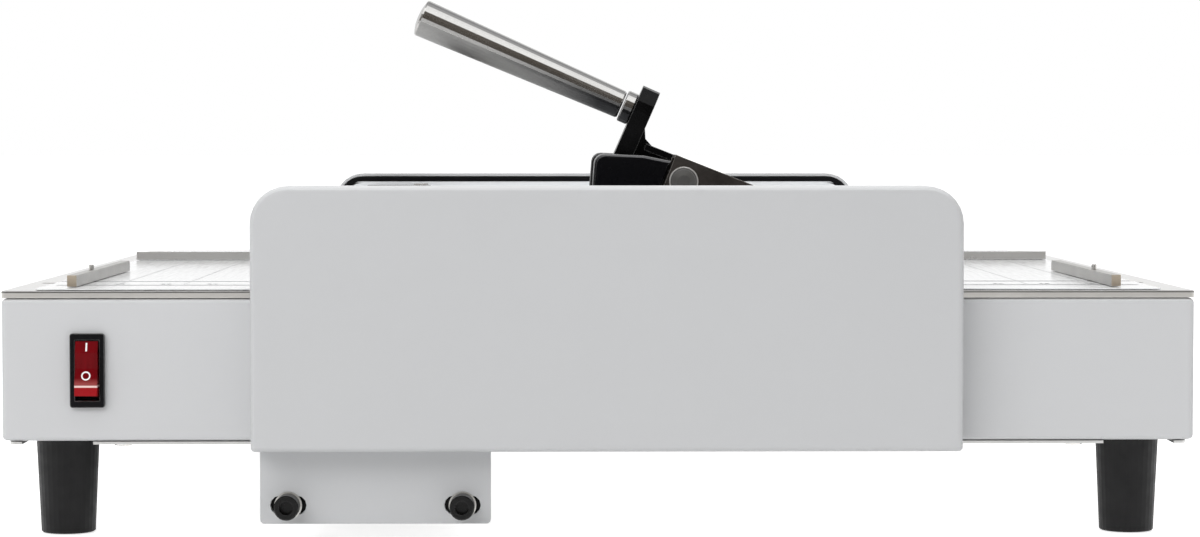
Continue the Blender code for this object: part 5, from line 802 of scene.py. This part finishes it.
def add_scale_lines():
    """The rule along the panel's front, its ticks, and the lines where the sheets' ends lie."""
    shape = bmesh.new()
    left = (-SCALE_END_X, FOLD_X - RULE_FOLD_GAP)
    right = (FOLD_X + RULE_FOLD_GAP, SCALE_END_X)
    for start, end in (left, right):
        print_bar(shape, (start, RULE_YS[0]), (end, RULE_YS[1]))
    for offset in range(-TICK_REACH, TICK_REACH):
        x = STAPLE_X + offset
        if abs(x - FOLD_X) < TICK_FOLD_GAP:
            continue
        length = next(length for step, length in TICK_LENGTHS if offset % step == 0)
        low = (x - TICK_HALF_WIDTH, RULE_YS[1])
        print_bar(shape, low, (x + TICK_HALF_WIDTH, RULE_YS[1] + length))
    for offset in HALF_SHEETS:
        for side in SIDES:
            x = STAPLE_X + side * offset
            for start, end in SHEET_LINE_YS:
                low = (x - SHEET_LINE_HALF_WIDTH, start)
                print_bar(shape, low, (x + SHEET_LINE_HALF_WIDTH, end))
    link("scale_lines", to_mesh(shape, "scale_lines"), "black_plastic", "base", ink_finish)


def number_mesh(text, x):
    """The outline of a number in ink, centred on x."""
    curve = bpy.data.curves.new("number", "FONT")
    curve.body = text
    curve.size = NUMBER_HEIGHT * MM
    curve.align_x = "CENTER"
    curve.extrude = INK_THICKNESS * MM / 2
    item = bpy.data.objects.new("number", curve)
    bpy.context.scene.collection.objects.link(item)
    bpy.context.view_layer.update()
    graph = bpy.context.evaluated_depsgraph_get()
    mesh = bpy.data.meshes.new_from_object(item.evaluated_get(graph))
    bpy.data.objects.remove(item, do_unlink=True)
    mesh.transform(Matrix.Translation((x * MM, NUMBER_Y * MM, panel_top + INK_LIFT * MM)))
    return mesh


def add_scale_numbers():
    """Numbers at every second long tick, except where one would reach the panel's edge."""
    shape = bmesh.new()
    for offset in NUMBER_OFFSETS:
        for side in SIDES:
            x = STAPLE_X + side * offset
            if abs(x) > NUMBER_LIMIT_X:
                continue
            mesh = number_mesh(str(offset // NUMBER_DIVISOR), x)
            shape.from_mesh(mesh)
            bpy.data.meshes.remove(mesh)
    link("scale_numbers", to_mesh(shape, "scale_numbers"), "black_plastic", "base", ink_finish)


# Marks on the rocker, in millimetres up each facet


MARK_SINK = 0.08
MARK_RISE = 0.06
BAR_HALF_WIDTH = 0.35
BAR_ENDS = (0.6, 4.3)
CIRCLE_CENTRE = 3.6
CIRCLE_RADII = (1.95, 1.35)
CIRCLE_STEPS = 28


def rocker_point(y, z):
    """A point of the rocker's drawing, turned as the rocker lies at rest."""
    axis = Vector(ROCKER_AXIS)
    dy = y - axis.x
    return (
        (axis.x + dy * math.cos(ROCKER_TILT) + z * math.sin(ROCKER_TILT)) * MM,
        (axis.y - dy * math.sin(ROCKER_TILT) + z * math.cos(ROCKER_TILT)) * MM,
    )


def lifted(loop, facet, lift):
    """A loop of (x, s) points on a facet, raised off it; s runs up the facet."""
    (y0, z0), (y1, z1) = facet
    length = math.hypot(y1 - y0, z1 - z0)
    points = []
    for x, s in loop:
        y = y0 + ((y1 - y0) * s - (z1 - z0) * lift) / length
        z = z0 + ((z1 - z0) * s + (y1 - y0) * lift) / length
        points.append(((SWITCH_X + x) * MM, *rocker_point(y, z)))
    return points


def add_mark(name, loops, facet):
    """A thin raised print: the inside of one closed loop, or the band between two."""
    sunk = [lifted(loop, facet, -MARK_SINK) for loop in loops]
    proud = [lifted(loop, facet, MARK_RISE) for loop in loops]
    shape = skinned(sunk + proud[::-1], closed=len(loops) > 1)
    link(name, to_mesh(shape, name), "panel_paint", "switch_rocker", mark_finish)


def add_marks():
    """The bar near the rocker's upper end, and the circle on its lower half."""
    ridge_y = SWITCH_FRONT_Y - ROCKER_PROUD
    valley_y = SWITCH_FRONT_Y - ROCKER_MIDDLE
    upper_facet = ((ridge_y, ROCKER_EDGE_AT), (valley_y, ROCKER_HALF_LENGTH))
    lower_facet = ((ridge_y, -ROCKER_EDGE_AT), (valley_y, 0.0))
    half = BAR_HALF_WIDTH
    start, end = BAR_ENDS
    add_mark("mark_on", [[(-half, start), (half, start), (half, end), (-half, end)]], upper_facet)
    angles = [2 * math.pi * i / CIRCLE_STEPS for i in range(CIRCLE_STEPS)]
    circles = [
        [(radius * math.cos(a), CIRCLE_CENTRE + radius * math.sin(a)) for a in angles]
        for radius in CIRCLE_RADII
    ]
    add_mark("mark_off", circles, lower_facet)


add_fasteners()
add_backings()
plate_lip("plate_lip_front", "front_side_plate")
plate_lip("plate_lip_rear", "rear_side_plate")
add_scale_lines()
add_scale_numbers()
add_marks()


# Floor, light and camera


FLOOR_HALF_SIZE = 30
FLOOR_DROP = 0.0005
FLOOR_COLOUR = (0.86, 0.86, 0.86)
FLOOR_GLOW = 0.75
WHITE = (1.0, 1.0, 1.0)
PLAIN_LIGHT = (0.45, 0.45, 0.45)
ROOM_SIDES = (0.6, 0.59, 0.58)

# The room as metal sees it, by the angle over the machine from the front floor to the white
# backdrop behind: a dim warm front, a bright ceiling, a grey gap and the backdrop.
ROOM = (
    (0.0, (0.14, 0.125, 0.11)),
    (0.2, (0.13, 0.11, 0.09)),
    (0.31, (1.9, 1.9, 1.9)),
    (0.42, (1.9, 1.9, 1.9)),
    (0.52, (0.75, 0.75, 0.76)),
    (0.7, (0.4, 0.4, 0.41)),
    (0.82, WHITE),
    (1.0, WHITE),
)

# Soft lamps, all turned to the machine: name, place, width and height, and power in watts
LAMP_TARGET = (0, 0, 0.08)
LAMPS = (
    ("top_light", (0.1, -0.3, 2.4), (2.6, 2.2), 24),
    ("front_light", (-1.2, -2.0, 1.5), (2.4, 1.4), 31),
    ("side_light", (2.2, -0.6, 1.0), (1.2, 1.6), 4),
    ("back_light", (0.9, 2.2, 1.3), (2.4, 1.4), 16),
)

# The camera's place in millimetres, how far it looks down and to its right in degrees, and its
# focal length in the photograph's pixels
CAMERA_PLACE = (-15.8, -1483, 167.13)
CAMERA_PITCH = 2.446
CAMERA_YAW = 0.733
FOCAL_PIXELS = 3006
PHOTOGRAPH_WIDTH = 1200
SENSOR_WIDTH = 36
CAMERA_REACH = 100


def floor_finish():
    """A pale floor that looks white to the camera and, near and behind the machine, to metal."""
    s = Shading("floor_finish")
    s.feed(s.shader.inputs["Base Color"], FLOOR_COLOUR)
    s.feed(s.shader.inputs["Roughness"], 0.9)
    rays = s.add("ShaderNodeLightPath").outputs
    near = s.spread(s.split(s.place)["Y"], 0.0, 1.0, -1.2, -0.3)
    mirrored = s.operate("MULTIPLY", rays["Is Glossy Ray"], near)
    direct = s.operate("MAXIMUM", rays["Is Camera Ray"], rays["Is Transmission Ray"])
    seen = s.operate("MAXIMUM", direct, mirrored)
    glow = s.add("ShaderNodeEmission")
    s.feed(glow.inputs["Strength"], FLOOR_GLOW)
    total = s.add("ShaderNodeAddShader")
    s.feed(total.inputs[0], s.shader.outputs["BSDF"])
    s.feed(total.inputs[1], glow.outputs["Emission"])
    mix = s.add("ShaderNodeMixShader")
    s.feed(mix.inputs["Fac"], seen)
    s.feed(mix.inputs[1], s.shader.outputs["BSDF"])
    s.feed(mix.inputs[2], total.outputs["Shader"])
    s.feed(s.tree.nodes["Material Output"].inputs["Surface"], mix.outputs["Shader"])
    return s.material


def add_floor():
    shape = bmesh.new()
    bmesh.ops.create_grid(shape, x_segments=1, y_segments=1, size=FLOOR_HALF_SIZE)
    floor = bpy.data.objects.new("floor", to_mesh(shape, "floor"))
    floor.data.materials.append(floor_finish())
    floor.location.z = -FLOOR_DROP
    bpy.context.scene.collection.objects.link(floor)


def add_world():
    """White to the camera, the room to metal, and an even grey light to everything else."""
    world = bpy.data.worlds.new("studio")
    world.use_nodes = True
    bpy.context.scene.world = world
    sky = Wiring(world.node_tree)
    rays = sky.add("ShaderNodeLightPath").outputs
    way = sky.split(sky.add("ShaderNodeTexCoord").outputs["Generated"])
    toward = sky.operate("MULTIPLY", way["Y"], -1.0)
    angle = sky.operate("ARCTAN2", way["Z"], toward)
    ramp = sky.add("ShaderNodeValToRGB")
    sky.feed(ramp.inputs["Fac"], sky.operate("DIVIDE", angle, math.pi))
    stops = ramp.color_ramp.elements
    for i, (position, tone) in enumerate(ROOM):
        stop = stops[0] if i == 0 else stops.new(position)
        stop.position = position
        stop.color = (*tone, 1)
    # The ramp's own far stop is spare
    stops.remove(stops[len(ROOM)])
    aside = sky.operate("POWER", sky.operate("ABSOLUTE", way["X"]), 4.0)
    room = sky.mix(aside, ramp.outputs["Color"], ROOM_SIDES)
    lit = sky.mix(rays["Is Glossy Ray"], PLAIN_LIGHT, room)
    seen = sky.operate("MAXIMUM", rays["Is Camera Ray"], rays["Is Transmission Ray"])
    sky.feed(sky.tree.nodes["Background"].inputs["Color"], sky.mix(seen, lit, WHITE))


def add_lamp(name, place, size, power):
    """A soft lamp. Metal mirrors the room instead of the lamp's own square."""
    lamp = bpy.data.lights.new(name, "AREA")
    lamp.shape = "RECTANGLE"
    lamp.size, lamp.size_y = size
    lamp.energy = power
    item = bpy.data.objects.new(name, lamp)
    aim = (Vector(LAMP_TARGET) - Vector(place)).to_track_quat("-Z", "Y").to_matrix().to_4x4()
    item.matrix_world = Matrix.Translation(Vector(place)) @ aim
    item.visible_glossy = False
    bpy.context.scene.collection.objects.link(item)


def add_camera():
    lens = bpy.data.cameras.new("camera")
    lens.sensor_width = SENSOR_WIDTH
    lens.lens = FOCAL_PIXELS / PHOTOGRAPH_WIDTH * SENSOR_WIDTH
    lens.clip_end = CAMERA_REACH
    camera = bpy.data.objects.new("camera", lens)
    camera.location = tuple(value * MM for value in CAMERA_PLACE)
    camera.rotation_euler = (math.radians(90 - CAMERA_PITCH), 0, math.radians(-CAMERA_YAW))
    bpy.context.scene.collection.objects.link(camera)
    bpy.context.scene.camera = camera


add_floor()
add_world()
for lamp_row in LAMPS:
    add_lamp(*lamp_row)
add_camera()
bpy.context.scene.view_settings.view_transform = "Standard"

bpy.context.view_layer.update()
